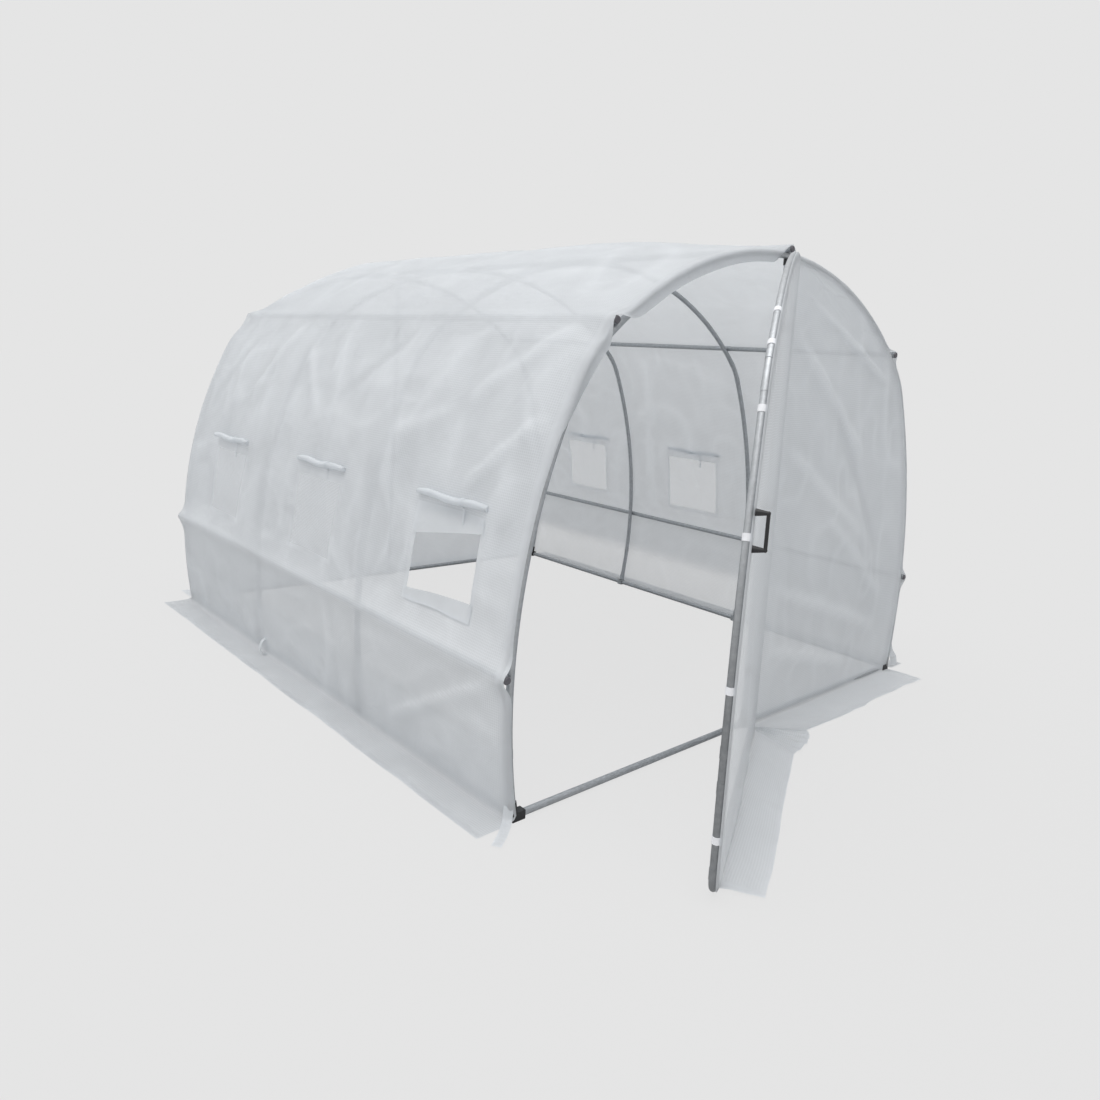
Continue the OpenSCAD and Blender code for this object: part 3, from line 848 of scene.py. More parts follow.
        # a painted highlight along the band just above the lower tube, added to the crease mark
        ledge = 0.55 * np.exp(-(((station - 2.2) / 0.25) ** 2)) * (station > 1.99)
        sheer = smooth((1.62 - station) / 0.2) * (station > 0.99) * np.where(rows.side > 0, 1.0, -0.3)
        even = np.ones((1, self.points.shape[1]))
        return {
            "hem": self.hem_mark(rows, np.pad(y, self.hem_cols, constant_values=-1.0)),
            "crease": self.crease_gain * crease + ledge[:, None],
            "sheer": sheer[:, None] * even,
            "dust": self.dust.at(station)[:, None] * even,
        }

    def wrap(self, edge: Array, rows: Rows, hem: Array, station: Array, facing: Facing) -> Array:
        """The hem round an end hoop: a circle about the tube, from its outside towards its face.

        Beside the doorway the hem stops at the tube's face on the wall, and hangs flat below the tube
        on the roof.

        Args:
            edge: the sheet's last column.
            rows: the cover's rows.
            hem: how far each row is hemmed, from 0 to 1.
            station: strip number plus way along it, per row, negative where a panel closes the end.
            facing: which end.

        Returns:
            Rows by columns of new points.
        """
        way = np.linspace(1.0 / self.hem_cols, 1.0, self.hem_cols)[None, :]
        reach = np.where(station < 0, self.closed_reach.at(-station), self.door_reach.at(station))
        turn = np.radians(reach)[:, None] * way
        radius = self.sleeve_radius(rows.line[:, 1])[:, None]
        hang = (smooth((station - 4.4) / 0.4) * smooth((5.98 - station) / 0.1))[:, None]
        bent = np.minimum(turn, math.pi / 2)
        inward = hang * (np.cos(bent) - (turn - bent)) + (1.0 - hang) * np.cos(turn)
        facewards = hang * np.sin(bent) + (1.0 - hang) * np.sin(turn)
        ring = rows.line[:, None, :] + (radius * inward)[:, :, None] * rows.normal[:, None, :]
        round_y = edge[:, 1][:, None] + facing.value * radius * facewards
        flat_y = edge[:, 1][:, None] + facing.value * self.flat_hem * way
        w = hem[:, None]
        x = w * ring[..., 0] + (1 - w) * edge[:, None, 0]
        z = w * ring[..., 1] + (1 - w) * edge[:, None, 2]
        return np.stack([x, w * round_y + (1 - w) * flat_y, z], axis=-1)

    def sleeve_radius(self, z: Array) -> Array:
        """Radius of the hem round an end hoop: even on the tube, wider over the socket at its foot.

        Args:
            z: height on the hoop.

        Returns:
            The radius at each height.
        """
        foot = self.sleeve_foot * smooth((0.11 - z) / 0.05)
        return self.sleeve + foot + 0.0006 * value_noise(z / 0.05, z * 0.0, 71)

    def hem_mark(self, rows: Rows, y: Array) -> Array:
        """Where the cloth is doubled: round the windows, at the skirts' edges and at the end hems.

        Args:
            rows: the cover's rows.
            y: place along the tunnel, per column, negative on the end hems.

        Returns:
            Rows by columns, 1 where the cloth is doubled.
        """
        sill, head = rows.down_at(3.0), rows.down_at(4.0)
        beside = np.abs(rows.down - (sill + head) / 2) - abs(sill - head) / 2
        centres = self.window_centre + self.bay * np.arange(3)
        before = np.abs(y[None, :] - centres[:, None]).min(axis=0) - self.window_width / 2
        away = np.maximum(beside[:, None], before[None, :])
        doubled = (away > -0.001) & (away < self.window_hem)
        ends = (y < self.end_hem) | (y > self.length - self.end_hem)
        doubled |= ends[None, :] & (rows.station > 1.0)[:, None]
        doubled |= (rows.station < 0.15)[:, None]
        return doubled.astype(float)

    def wall_place(self, side: Side, z: float, y: float) -> Array:
        """A point of the finished sheet on one wall.

        Args:
            side: which wall.
            z: height on it.
            y: place along the tunnel.

        Returns:
            The nearest point of the grid.
        """
        cloud = self.points[np.sign(self.points[..., 0]) == side.value]
        return cloud[np.argmin(np.abs(cloud[:, 2] - z) + np.abs(cloud[:, 1] - y))]


FRONT_FOLDS = (
    Fold((0.04, 1.90), (0.97, 1.50), 0.018, 0.020),
    Fold((0.08, 1.72), (0.80, 1.12), 0.030, 0.019),
    Fold((0.30, 1.60), (1.05, 0.62), 0.034, -0.012),
    Fold((0.06, 1.25), (0.90, 0.72), 0.032, 0.013),
    Fold((0.05, 0.62), (1.12, 0.26), 0.028, 0.014),
    Fold((0.05, 0.34), (0.85, 0.12), 0.024, 0.014),
    Fold((0.40, 0.95), (1.15, 0.40), 0.030, 0.010),
)


@dataclass
class EndPanel(SubAssembly):
    """A sheet over one end of the tunnel with a skirt on the ground, edged round the hoop.

    It is drawn facing its own way, as X, depth outwards and Z, and then put in its plane.
    """

    hoop: HoopShape
    facing: Facing
    plane: float
    skirt: float = 0.19
    hems: tuple[float, float] = (0.06, 0.05)
    rows: int = 120
    cols: int = 84
    skirt_rows: int = 16
    wrap_cols: int = 6
    hem_cols: int = 8
    half: bool = True
    post_wrap: tuple[float, float] = (165.0, 270.0)
    hoop_wrap: tuple[float, float] = (90.0, 12.0)
    seed: int = 7
    edge_ease: float = 0.10
    top: float = 1.93
    top_ease: float = 0.35
    # strength of the painted highlight and painted shade on the panel's creases
    crease_gain: float = 1.7
    sheet_gap: float = 0.0022
    ground_gap: float = 0.003
    ripple: float = 0.010
    waver: float = 0.012
    rucks: tuple[Ruck, ...] = (
        Ruck(0.011, (0.26, 0.75), (0.25, 0.0)),
        Ruck(0.009, (0.34, 0.60), (0.5, -0.3), 9, creased=True),
        Ruck(0.0036, (0.13, 0.20), (0.4, 0.0), 5, creased=True),
    )
    folds: tuple[Fold, ...] = ()
    points: Array = field(init=False)

    def lift(self, x: Array, z: Array, u: Array) -> Array:
        """How far the cloth bulges outwards: soft noise drawn out along the fall, creases and single folds.

        Args:
            x: place across.
            z: height.
            u: way across from the inner to the outer edge.

        Returns:
            Offsets in metres, fading at the edges that are held.
        """
        held = np.minimum(smooth(u / self.edge_ease), smooth((1.0 - u) / self.edge_ease))
        held = held * smooth((self.top - z) / self.top_ease) * (0.35 + 0.65 * smooth((z - 0.02) / 0.25))
        out = sum(ruck.lift(x, z, self.seed) for ruck in self.rucks)
        for fold in self.folds:
            out = out + fold.lift(x, z)
        return held * out

    def build(self) -> None:
        """Makes the sheet: level rows from the inner to the outer edge, the outer one round the hoop.

        It stands for the end's panel and skirt in the frame.
        """
        edge, normal = self.hoop.walk(self.hoop.side_angle(self.ground_gap), math.pi / 2, self.rows)
        radius = self.hoop.tube + self.sheet_gap
        u = np.linspace(0.0, 1.0, self.cols)
        right, height = edge[:, 0], edge[:, 1]
        inner = np.zeros_like(right) if self.half else -right
        x = inner[:, None] + (right - inner)[:, None] * u[None, :]
        z = np.broadcast_to(height[:, None], x.shape)
        lift = self.lift(x, z, np.broadcast_to(u, x.shape))
        middle = np.stack([x, radius + lift, z], axis=-1)
        turn = np.radians(np.linspace(*self.hoop_wrap, self.wrap_cols + 1)[1:])
        outer = round_tube(edge, normal, radius, turn)
        if self.half:
            around = np.radians(np.linspace(*self.post_wrap, self.wrap_cols + 1)[:-1])
            start = upright_rows(radius * np.stack([np.cos(around), -np.sin(around)], axis=-1), height)
        else:
            start = outer[:, ::-1] * np.array([-1.0, 1.0, 1.0])
        upright = np.concatenate([start, middle, outer], axis=1)
        drawn = np.concatenate([self.ground(upright[0]), upright], axis=0)
        self.points = drawn * np.array([1.0, self.facing.value, 1.0]) + np.array([0.0, self.plane, 0.0])
        hems = (self.hem_cols, self.hem_cols)
        marks = panel_marks(lift, self.skirt_rows, self.wrap_cols, hems, self.crease_gain)
        end = self.facing.name.lower()
        flip = self.facing is Facing.BACK
        piece = grid_object(f"{end}_cloth", self.points, flat_uv(self.points), flip=flip, marks=marks)
        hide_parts(f"{end}_panel", f"{end}_skirt")
        self.pieces.append(piece)

    def ground(self, first: Array) -> Array:
        """The skirt: the bottom row pushed outwards over the ground, cut slantwise beside the door, rippled.

        Args:
            first: the bottom row of the upright part.

        Returns:
            Rows by columns, from the skirt's edge to the fold.
        """
        out = np.linspace(1.0, 0.0, self.skirt_rows + 1)[:-1, None]
        across = first[None, :, 0]
        right = across.max()
        mitre = self.skirt * out if self.half else np.zeros_like(out)
        x = across * ((right - mitre) / right) + mitre
        edge = self.waver * value_noise(across / 0.17, out * 0.6, self.seed + 31) * out
        y = self.hoop.tube + self.sheet_gap + self.skirt * out + edge
        ripple = 0.5 + 0.5 * value_noise(across / 0.12, out * 1.5, self.seed + 17)
        z = self.ground_gap + self.ripple * ripple**2 * smooth(out * 3.0)
        return np.stack([x, y, z], axis=-1)


@dataclass
class DoorCloth(SubAssembly):
    """The door's sheet, drawn on the closed door at the right and turned open on the left.

    It is drawn as X, depth outwards and Z.
    """

    hoop: HoopShape
    open_angle: float = math.radians(31.0)
    plane: float = -0.038
    inset: float = 0.009
    bottom: float = 0.0215
    toe_radius: float = 0.075
    top_angle: float = math.radians(86.0)
    stile: float = 0.039
    skirt: float = 0.170
    skirt_toe: float = 0.138
    # painted highlight that brightens the skirt lying on the ground
    skirt_painted_light: float = 1.1
    hems: tuple[float, float] = (0.05, 0.06)
    ground: float = 0.009
    rows: int = 100
    cols: int = 84
    toe_rows: int = 13
    leg_rows: int = 23
    skirt_rows: int = 18
    hang_rows: int = 4
    wrap_cols: int = 6
    hem_cols: tuple[int, int] = (8, 9)
    edge_wrap: tuple[float, float] = (90.0, 40.0)
    stile_wrap: tuple[float, float] = (185.0, 270.0)
    sheet_gap: float = 0.0032
    seed: int = 19
    edge_ease: tuple[float, float] = (0.10, 0.08)
    top: float = 1.93
    top_ease: float = 0.30
    ripple: float = 0.012
    waver: float = 0.010
    rucks: tuple[Ruck, ...] = (
        Ruck(0.009, (0.24, 0.70), (-0.2, 0.0)),
        Ruck(0.005, (0.30, 0.5), (-0.4, 0.0), 3, creased=True),
    )
    points: Array = field(init=False)

    def outline(self) -> tuple[Array, Array]:
        """The free edge from toe to top: the toe's bend, a straight leg, then the hoop's bends, inset.

        Returns:
            Points of the tube's centre line and outward directions, as X and Z.
        """
        hoop = self.hoop
        leg = hoop.side_centre[0] + hoop.side_radius - self.inset
        toe = np.array([leg - self.toe_radius, self.bottom + self.toe_radius])
        angle = np.linspace(-math.pi / 2, 0.0, self.toe_rows + 1)[:-1]
        out = np.stack([np.cos(angle), np.sin(angle)], axis=1)
        z = np.linspace(toe[1], hoop.side_centre[1], self.leg_rows + 1)[:-1]
        straight = np.stack([np.full_like(z, leg), z], axis=1)
        side, side_out = hoop.walk(0.0, self.top_angle, self.rows, -self.inset)
        points = np.concatenate([toe + self.toe_radius * out, straight, side])
        return points, np.concatenate([out, np.tile([1.0, 0.0], (len(z), 1)), side_out])

    def lift(self, x: Array, z: Array, u: Array) -> Array:
        """How far the cloth bulges outwards between the tubes: soft noise and creases.

        Args:
            x: place across.
            z: height.
            u: way across from the stile to the free edge.

        Returns:
            Offsets in metres, fading at the edges that are held.
        """
        held = np.minimum(smooth(u / self.edge_ease[0]), smooth((1.0 - u) / self.edge_ease[1]))
        held = held * smooth((self.top - z) / self.top_ease)
        return held * sum(ruck.lift(x, z, self.seed) for ruck in self.rucks)

    def to_open(self, points: Array) -> Array:
        """Mirrors points to the left half and turns them open about the post.

        Args:
            points: places on the closed door at the right.

        Returns:
            The places on the open door.
        """
        c, s = math.cos(self.open_angle), math.sin(self.open_angle)
        x, y, z = -points[..., 0], self.plane - points[..., 1], points[..., 2]
        return np.stack([c * x - s * y, s * x + c * y, z], axis=-1)

    def build(self) -> None:
        """Makes the sheet: level rows from stile to free edge, with the skirt below, riding on the door."""
        edge, normal = self.outline()
        radius = self.hoop.tube + self.sheet_gap
        height = edge[:, 1]
        u = np.linspace(0.0, 1.0, self.cols)
        x = self.stile + (edge[:, 0] - self.stile)[:, None] * u[None, :]
        z = np.broadcast_to(height[:, None], x.shape)
        lift = self.lift(x, z, np.broadcast_to(u, x.shape))
        middle = np.stack([x, radius + lift, z], axis=-1)
        turn = np.radians(np.linspace(*self.edge_wrap, self.wrap_cols + 1)[1:])
        outer = round_tube(edge, normal, radius, turn)
        around = np.radians(np.linspace(*self.stile_wrap, self.wrap_cols + 1)[:-1])
        plan = np.stack([self.stile + radius * np.cos(around), -radius * np.sin(around)], axis=-1)
        upright = np.concatenate([upright_rows(plan, height), middle, outer], axis=1)
        closed = np.concatenate([self.trail(upright[0]), upright], axis=0)
        self.points = self.to_open(closed)
        below = self.skirt_rows + self.hang_rows
        marks = panel_marks(lift, below, self.wrap_cols, self.hem_cols, 1.0)
        # the skirt gets a painted highlight through the crease mark
        marks["crease"][:below] = self.skirt_painted_light
        piece = grid_object("door_cloth", self.points, flat_uv(self.points), flip=True, marks=marks)
        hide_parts("door_panel", "door_skirt")
        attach(piece, "door")
        self.pieces.append(piece)

    def trail(self, first: Array) -> Array:
        """The skirt: it hangs from the bottom tube, folds at the ground and runs outwards, rippled.

        Args:
            first: the bottom row of the upright part.

        Returns:
            Rows by columns, from the skirt's edge up to the bottom tube.
        """
        out = np.concatenate([np.linspace(1.0, 0.0, self.skirt_rows), np.zeros(self.hang_rows)])[:, None]
        up = np.concatenate([np.zeros(self.skirt_rows), np.linspace(0.2, 0.9, self.hang_rows)])[:, None]
        x0 = np.clip(first[None, :, 0], self.stile, None)
        wide = x0.max() - self.stile
        mitre = self.skirt * out
        x = self.stile + mitre + (x0 - self.stile) * ((wide - mitre) / wide)
        ripple = 0.5 + 0.5 * value_noise(x0 / 0.13, out * 1.4, self.seed + 8)
        edge = self.waver * value_noise(x0 / 0.2, out, self.seed + 2) * out
        width = self.skirt + (self.skirt_toe - self.skirt) * (x0 - self.stile) / wide
        y = self.hoop.tube + self.sheet_gap + (width * out + edge)
        rise = up * (first[None, :, 2] - self.ground)
        z = self.ground + rise + self.ripple * ripple**2 * smooth(out * 4.0)
        return np.stack([x, y, z], axis=-1)


@dataclass
class FlapRolls(SubAssembly):
    """The rolled-up window flaps above the windows, each tied with a strap."""

    cover: Cover
    radius: float = 0.014
    length: float = 0.43
    height: float = 1.0
    wall_gap: float = 0.001
    rings: int = 30
    turns: int = 40
    end_sizes: tuple[float, ...] = (0.02, 0.45, 0.85)
    sway: float = 0.004
    strap_shift: float = 0.07
    strap_width: float = 0.012
    strap_drop: float = 0.075
    strap_ease: float = 1.08

    def roll(self, name: str, side: Side, y: float, seed: int) -> bpy.types.Object:
        """Makes one roll: a tube whose radius grows by a lap as it winds, with closed ends.

        Args:
            name: the piece's name.
            side: which wall.
            y: the middle of it along the tunnel.
            seed: its creases.

        Returns:
            The roll.
        """
        caps = len(self.end_sizes)
        t = np.concatenate([np.zeros(caps), np.linspace(0.0, 1.0, self.rings), np.ones(caps)])
        shrink = np.concatenate([self.end_sizes, np.ones(self.rings), self.end_sizes[::-1]])
        angle = np.linspace(0.0, 2.0 * math.pi, self.turns + 1)
        lap = 0.90 + 0.10 * (angle / (2.0 * math.pi))
        ends = 1.0 - 0.22 * (np.abs(2.0 * t - 1.0) ** 6)
        noise = 0.09 * value_noise(t[:, None] * 9.0, np.cos(angle)[None, :] * 1.5 + 4.0, seed)
        size = self.radius * (lap[None, :] + noise) * (shrink * ends)[:, None]
        place = self.cover.wall_place(side, self.height, y)
        across = side.value
        x = place[0] + across * (self.radius + self.wall_gap) + across * size * np.cos(angle)[None, :]
        z = self.height + size * np.sin(angle)[None, :] + self.sway * np.sin(3.0 * math.pi * t)[:, None]
        along = np.broadcast_to((y + (t - 0.5) * self.length)[:, None], size.shape)
        points = np.stack([x, along, z], axis=-1)
        marks = {"hem": np.ones(size.shape)}
        return grid_object(name, points, flat_uv(points), flip=side is Side.LEFT, marks=marks)

    def build(self) -> None:
        """Makes all six rolls and their straps."""
        for side in Side:
            wall = side.name.lower()
            for k in range(3):
                y = self.cover.window_centre + k * self.cover.bay
                roll = self.roll(f"{wall}_flap_roll_{k + 1}", side, y, 50 + 10 * k + side.value)
                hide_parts(f"{wall}_flap_rolls")
                self.pieces.append(roll)
                self.pieces.append(self.strap(f"{wall}_flap_strap_{k + 1}", side, y - self.strap_shift))

    def strap(self, name: str, side: Side, y: float) -> bpy.types.Object:
        """Makes a strap: a narrow band that goes round the roll and hangs to the window's head.

        Args:
            name: the piece's name.
            side: which wall.
            y: its place along the tunnel.

        Returns:
            The strap.
        """
        place = self.cover.wall_place(side, self.height, y)
        radius = self.radius * self.strap_ease + self.wall_gap
        angle = np.linspace(math.pi * 0.75, -math.pi * 0.62, 22)
        x = place[0] + side.value * (self.radius + self.wall_gap + radius * np.cos(angle))
        z = self.height + radius * np.sin(angle)
        tail = np.linspace(0.0, 1.0, 8)[1:]
        x = np.append(x, x[-1] + side.value * self.sway * np.sin(tail * 3.0))
        z = np.append(z, z[-1] - self.strap_drop * tail)
        path = np.stack([x, np.full_like(x, y), z], axis=1)
        width = np.linspace(-self.strap_width / 2, self.strap_width / 2, 3)
        points = path[:, None, :] + width[None, :, None] * np.array([0.0, 1.0, 0.0])
        marks = {"hem": np.ones(points.shape[:2])}
        strap = grid_object(name, points, flat_uv(points), flip=side is Side.RIGHT, marks=marks)
        return strap


@dataclass
class WindowNets(SubAssembly):
    """The nets in the windows: each one fills its hole in the cover with the cover's own slack."""

    cover: Cover
    open_window: tuple[Side, int] = (Side.LEFT, 0)
    sag: float = 0.004
    seam: float = 0.004

    def build(self) -> None:
        """Makes a net in every window but the open one: the cover's grid inside the hole, bowed inwards."""
        hole = self.cover.hole
        rows, cols = (np.nonzero(hole.any(axis=axis))[0] for axis in (1, 0))
        bands, runs = (np.split(part, np.nonzero(np.diff(part) > 1)[0] + 1) for part in (rows, cols))
        for side, band in zip(Side, bands):
            for k, run in enumerate(runs):
                if (side, k) == self.open_window:
                    continue
                points = self.cover.points[band[0] : band[-1] + 2, run[0] : run[-1] + 2].copy()
                u, v = (np.linspace(0.0, 1.0, count) for count in points.shape[:2])
                bow = np.sin(math.pi * u)[:, None] * np.sin(math.pi * v)[None, :]
                points[..., 0] -= side.value * self.sag * bow
                marks = {"hem": np.zeros(bow.shape)}
                net = grid_object(f"{side.name.lower()}_net_{k + 1}", points, flat_uv(points), marks=marks)
                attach(net, "tunnel")
                self.pieces.append(net)


@dataclass
class OpenWindow(SubAssembly):
    """The trims of the window that stands open: what hangs below its roll, and its sill's hem."""

    cover: Cover
    hang: tuple[float, float] = (0.915, 0.848)
    hang_up: float = 0.030
    sill_top: tuple[float, float] = (0.676, 0.650)
    sill_down: float = 0.010
    stand_off: float = 0.0035
    flutter: float = 0.004
    rows: int = 9

    def strip(self, name: str, low: Array, high: Array) -> bpy.types.Object:
        """Makes a strip on the left wall: each column runs from low to high on the cover's own curve.

        Args:
            name: the piece's name.
            low: the two ends of the lower edge, near and far.
            high: the two ends of the upper edge, near and far.

        Returns:
            The strip, riding on the tunnel.
        """
        rows = np.nonzero(self.cover.hole.any(axis=1))[0]
        cols = np.nonzero(self.cover.hole.any(axis=0))[0]
        band = rows[rows < self.cover.hole.shape[0] // 2]
        run = cols[: np.argmax(np.diff(cols) > 1) + 1]
        wall = self.cover.points[band[0] - 8 : band[-1] + 10, run[0] - 1 : run[-1] + 3]
        u = np.linspace(0.0, 1.0, wall.shape[1])
        t = np.linspace(0.0, 1.0, self.rows)[:, None]
        bottom, top = (np.interp(u, [0.0, 1.0], edge)[None, :] for edge in (low, high))
        z = (1.0 - t) * bottom + t * top
        x = np.stack([np.interp(z[:, k], wall[:, k, 2], wall[:, k, 0]) for k in range(len(u))], axis=1)
        loose = 0.5 + 0.5 * value_noise(u[None, :] * 5.0, t, 3)
        x = x - self.stand_off - self.flutter * (1.0 - t) * loose
        y = np.broadcast_to(wall[0, :, 1], x.shape)
        points = np.stack([x, y, z], axis=-1)
        piece = grid_object(name, points, flat_uv(points), marks={"hem": np.ones(x.shape)})
        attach(piece, "tunnel")
        return piece

    def build(self) -> None:
        """Makes the hanging edge and the sill's hem."""
        head = np.full(2, self.cover.window_head + self.hang_up)
        sill = np.full(2, self.cover.window_sill - self.sill_down)
        self.pieces.append(self.strip("window_hang", np.array(self.hang), head))
        self.pieces.append(self.strip("window_sill_hem", sill, np.array(self.sill_top)))


@dataclass(frozen=True)
class Band:
    """A loose end of the hem: where its middle goes, the direction of its width, and the width."""

    name: str
    path: tuple[tuple[float, float, float], ...]
    across: tuple[float, float, float]
    width: float


@dataclass
class Straps(SubAssembly):
    """Loose ends of the hem: tails by the two front feet and a loop at the third hoop."""

    bands: tuple[Band, ...] = (
        Band(
            "hem_tail",
            ((-1.274, 0.0, 0.055), (-1.285, -0.01, 0.01), (-1.335, -0.054, 0.005), (-1.393, -0.096, 0.005)),
            (-0.5, 0.85, 0.0),
            0.034,
        ),
        Band(
            "hem_flare",
            ((1.268, 0.0, 0.150), (1.285, -0.004, 0.100), (1.325, -0.010, 0.060), (1.330, -0.016, 0.012)),
            (0.3, -0.9, 0.3),
            0.034,
        ),
        Band(
            "foot_loop",
            (
                (-1.277, 1.92, 0.085),
                (-1.306, 1.92, 0.072),
                (-1.318, 1.91, 0.035),
                (-1.308, 1.90, 0.012),
                (-1.285, 1.90, 0.010),
            ),
            (0.0, 1.0, 0.0),
            0.022,
        ),
    )
    rows: int = 30
    cols: int = 5
    passes: int = 6

    def strip(self, band: Band) -> bpy.types.Object:
        """Makes one band: its path is blurred to a smooth line, with a straight width across it.

        Args:
            band: what it is like.

        Returns:
            The strip, riding on the tunnel.
        """
        path = np.array(band.path)
        t = np.linspace(0.0, len(path) - 1.0, self.rows)
        line = np.stack([np.interp(t, np.arange(len(path)), path[:, k]) for k in range(3)], axis=1)
        for _ in range(self.passes):
            line[1:-1] = 0.25 * line[:-2] + 0.5 * line[1:-1] + 0.25 * line[2:]
        across = np.array(band.across) / np.linalg.norm(band.across)
        width = np.linspace(-band.width / 2, band.width / 2, self.cols)
        points = line[:, None, :] + width[None, :, None] * across
        piece = grid_object(band.name, points, flat_uv(points), marks={"hem": np.ones(points.shape[:2])})
        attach(piece, "tunnel")
        return piece

    def build(self) -> None:
        """Makes the tails and the loop."""
        self.pieces += [self.strip(band) for band in self.bands]


@dataclass
class HingeGather(SubAssembly):
    """The gathered cloth on the ground between the front skirt and the door's skirt."""

    front: EndPanel
    door: DoorCloth
    rows: int = 16
    cols: int = 36
    height: float = 0.020
    pleats: float = 5.0
    bulge: float = 0.12
    fullness: float = 0.7
    least_width: float = 0.2
    rides: bool = field(default=False, init=False)

    def build(self) -> None:
        """Makes the gather.

        Straight lines run between the two skirts' slanted edges and are lifted into pleats.
        """
        v = np.linspace(0.0, 1.0, self.rows)
        u = np.linspace(0.0, 1.0, self.cols)
        edges = []
        for sheet in (self.front, self.door):
            edge = sheet.points[: sheet.skirt_rows, sheet.wrap_cols][::-1]
            t = np.linspace(0.0, 1.0, len(edge))
            edges.append(np.stack([np.interp(v, t, edge[:, k]) for k in range(3)], axis=1))
        points = edges[0][:, None, :] * (1.0 - u)[None, :, None] + edges[1][:, None, :] * u[None, :, None]
        arch = np.sin(math.pi * u)[None, :]
        away = arch * (0.3 + 0.7 * smooth(v * 3.0))[:, None]
        drift = 0.06 * value_noise(v[:, None] * 3.0, u[None, :] * 2.0, 5)
        pleat = np.abs(np.sin(math.pi * self.pleats * (u[None, :] + drift)))
        points[..., 2] += self.height * away * (0.25 + 0.75 * pleat)
        points[..., :2] *= (1.0 + self.bulge * arch * v[:, None])[..., None]
        mark = np.zeros(points.shape[:2])
        mark[-2:] = 1.0
        piece = grid_object("hinge_gather", points, flat_uv(points), marks={"hem": mark})
        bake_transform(piece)
        self.pieces.append(piece)


class NodeTree:
    """Short ways of adding and linking shader nodes in one tree."""

    def __init__(self, tree: bpy.types.NodeTree) -> None:
        """Keeps the tree.

        Args:
            tree: the tree that nodes are added to.
        """
        self.tree = tree

    @classmethod
    def of(cls, holder: Union[bpy.types.Material, bpy.types.World]) -> "NodeTree":
        """The emptied tree of a material or a world.

        Args:
            holder: what has the tree.

        Returns:
            The tree, with no nodes in it.
        """
        holder.use_nodes = True
        holder.node_tree.nodes.clear()
        return cls(holder.node_tree)

    def feed(self, part: Part, target: bpy.types.NodeSocket) -> None:
        """Links an output to an input, or sets the input's value.

        Args:
            part: the output, or the value.
            target: the input.
        """
        if isinstance(part, bpy.types.NodeSocket):
            self.tree.links.new(part, target)
        else:
            target.default_value = part

    def add(self, kind: str, **values: object) -> bpy.types.Node:
        """Adds a node, sets its properties and feeds its inputs.

        Args:
            kind: the node's type.
            values: properties by name, or inputs by name with spaces as underscores.

        Returns:
            The node.
        """
        made = self.tree.nodes.new(kind)
        for key, value in values.items():
            if key in made.bl_rna.properties:
                setattr(made, key, value)
            else:
                self.feed(value, made.inputs[key.replace("_", " ")])
        return made

    def maths(self, operation: str, *parts: Part, **values: object) -> bpy.types.NodeSocket:
        """Adds a maths node.

        Args:
            operation: what it does.
            parts: its inputs in order.
            values: further properties.

        Returns:
            Its value.
        """
        made = self.add("ShaderNodeMath", operation=operation, **values)
        for part, target in zip(parts, made.inputs):
            self.feed(part, target)
        return made.outputs["Value"]

    def remap(
        self, value: Part, start: tuple[float, float], end: tuple[float, float], **values: object
    ) -> bpy.types.NodeSocket:
        """Adds a node that maps one range to another.

        Args:
            value: what is mapped.
            start: the range that it is in.
            end: the range that it is taken to.
            values: further properties.

        Returns:
            The mapped value.
        """
        made = self.add("ShaderNodeMapRange", Value=value, **values)
        for key, number in zip(("From Min", "From Max", "To Min", "To Max"), (*start, *end)):
            made.inputs[key].default_value = number
        return made.outputs["Result"]

    def tint(self, colour: tuple[float, float, float], shade: Part) -> bpy.types.NodeSocket:
        """Adds a node that scales a colour.

        Args:
            colour: the colour at full.
            shade: what it is multiplied by.

        Returns:
            The shaded colour.
        """
        made = self.add("ShaderNodeVectorMath", operation="SCALE", Scale=shade)
        made.inputs[0].default_value = colour
        return made.outputs["Vector"]

    def mix(self, share: Part, one: Part, two: Part) -> bpy.types.NodeSocket:
        """Adds a node that mixes two shaders.

        Args:
            share: how much of the second one there is.
            one: the first shader.
            two: the second shader.

        Returns:
            The mixed shader.
        """
        made = self.add("ShaderNodeMixShader")
        for part, target in zip((share, one, two), made.inputs):
            self.feed(part, target)
        return made.outputs["Shader"]


def weave_group() -> bpy.types.NodeTree:
    """Shared effect: the grid of stiffening threads in woven film.

    Cloth coordinates are divided by the pitch, and each thread is where they come near a whole number.

    Returns:
        A group from cloth coordinates and a pitch to how much thread there is.
    """
    group = bpy.data.node_groups.new("film_weave", "ShaderNodeTree")
    group.interface.new_socket("Vector", in_out="INPUT", socket_type="NodeSocketVector")
    group.interface.new_socket("Pitch", in_out="INPUT", socket_type="NodeSocketFloat")
    group.interface.new_socket("Thread", in_out="OUTPUT", socket_type="NodeSocketFloat")
    t = NodeTree(group)
    given = t.add("NodeGroupInput").outputs
    pitch = t.add("ShaderNodeCombineXYZ", **dict.fromkeys("XYZ", given["Pitch"]))
    scale = t.add("ShaderNodeVectorMath", operation="DIVIDE")
    t.feed(given["Vector"], scale.inputs[0])
    t.feed(pitch.outputs["Vector"], scale.inputs[1])
    axes = t.add("ShaderNodeSeparateXYZ", Vector=scale.outputs["Vector"])
    threads = []
    for axis in "XY":
        part = t.maths("PINGPONG", axes.outputs[axis], 0.5)
        threads.append(t.remap(part, (0.16, 0.02), (0.0, 1.0), interpolation_type="SMOOTHSTEP"))
    t.add("NodeGroupOutput", Thread=t.maths("MAXIMUM", *threads))
    return group


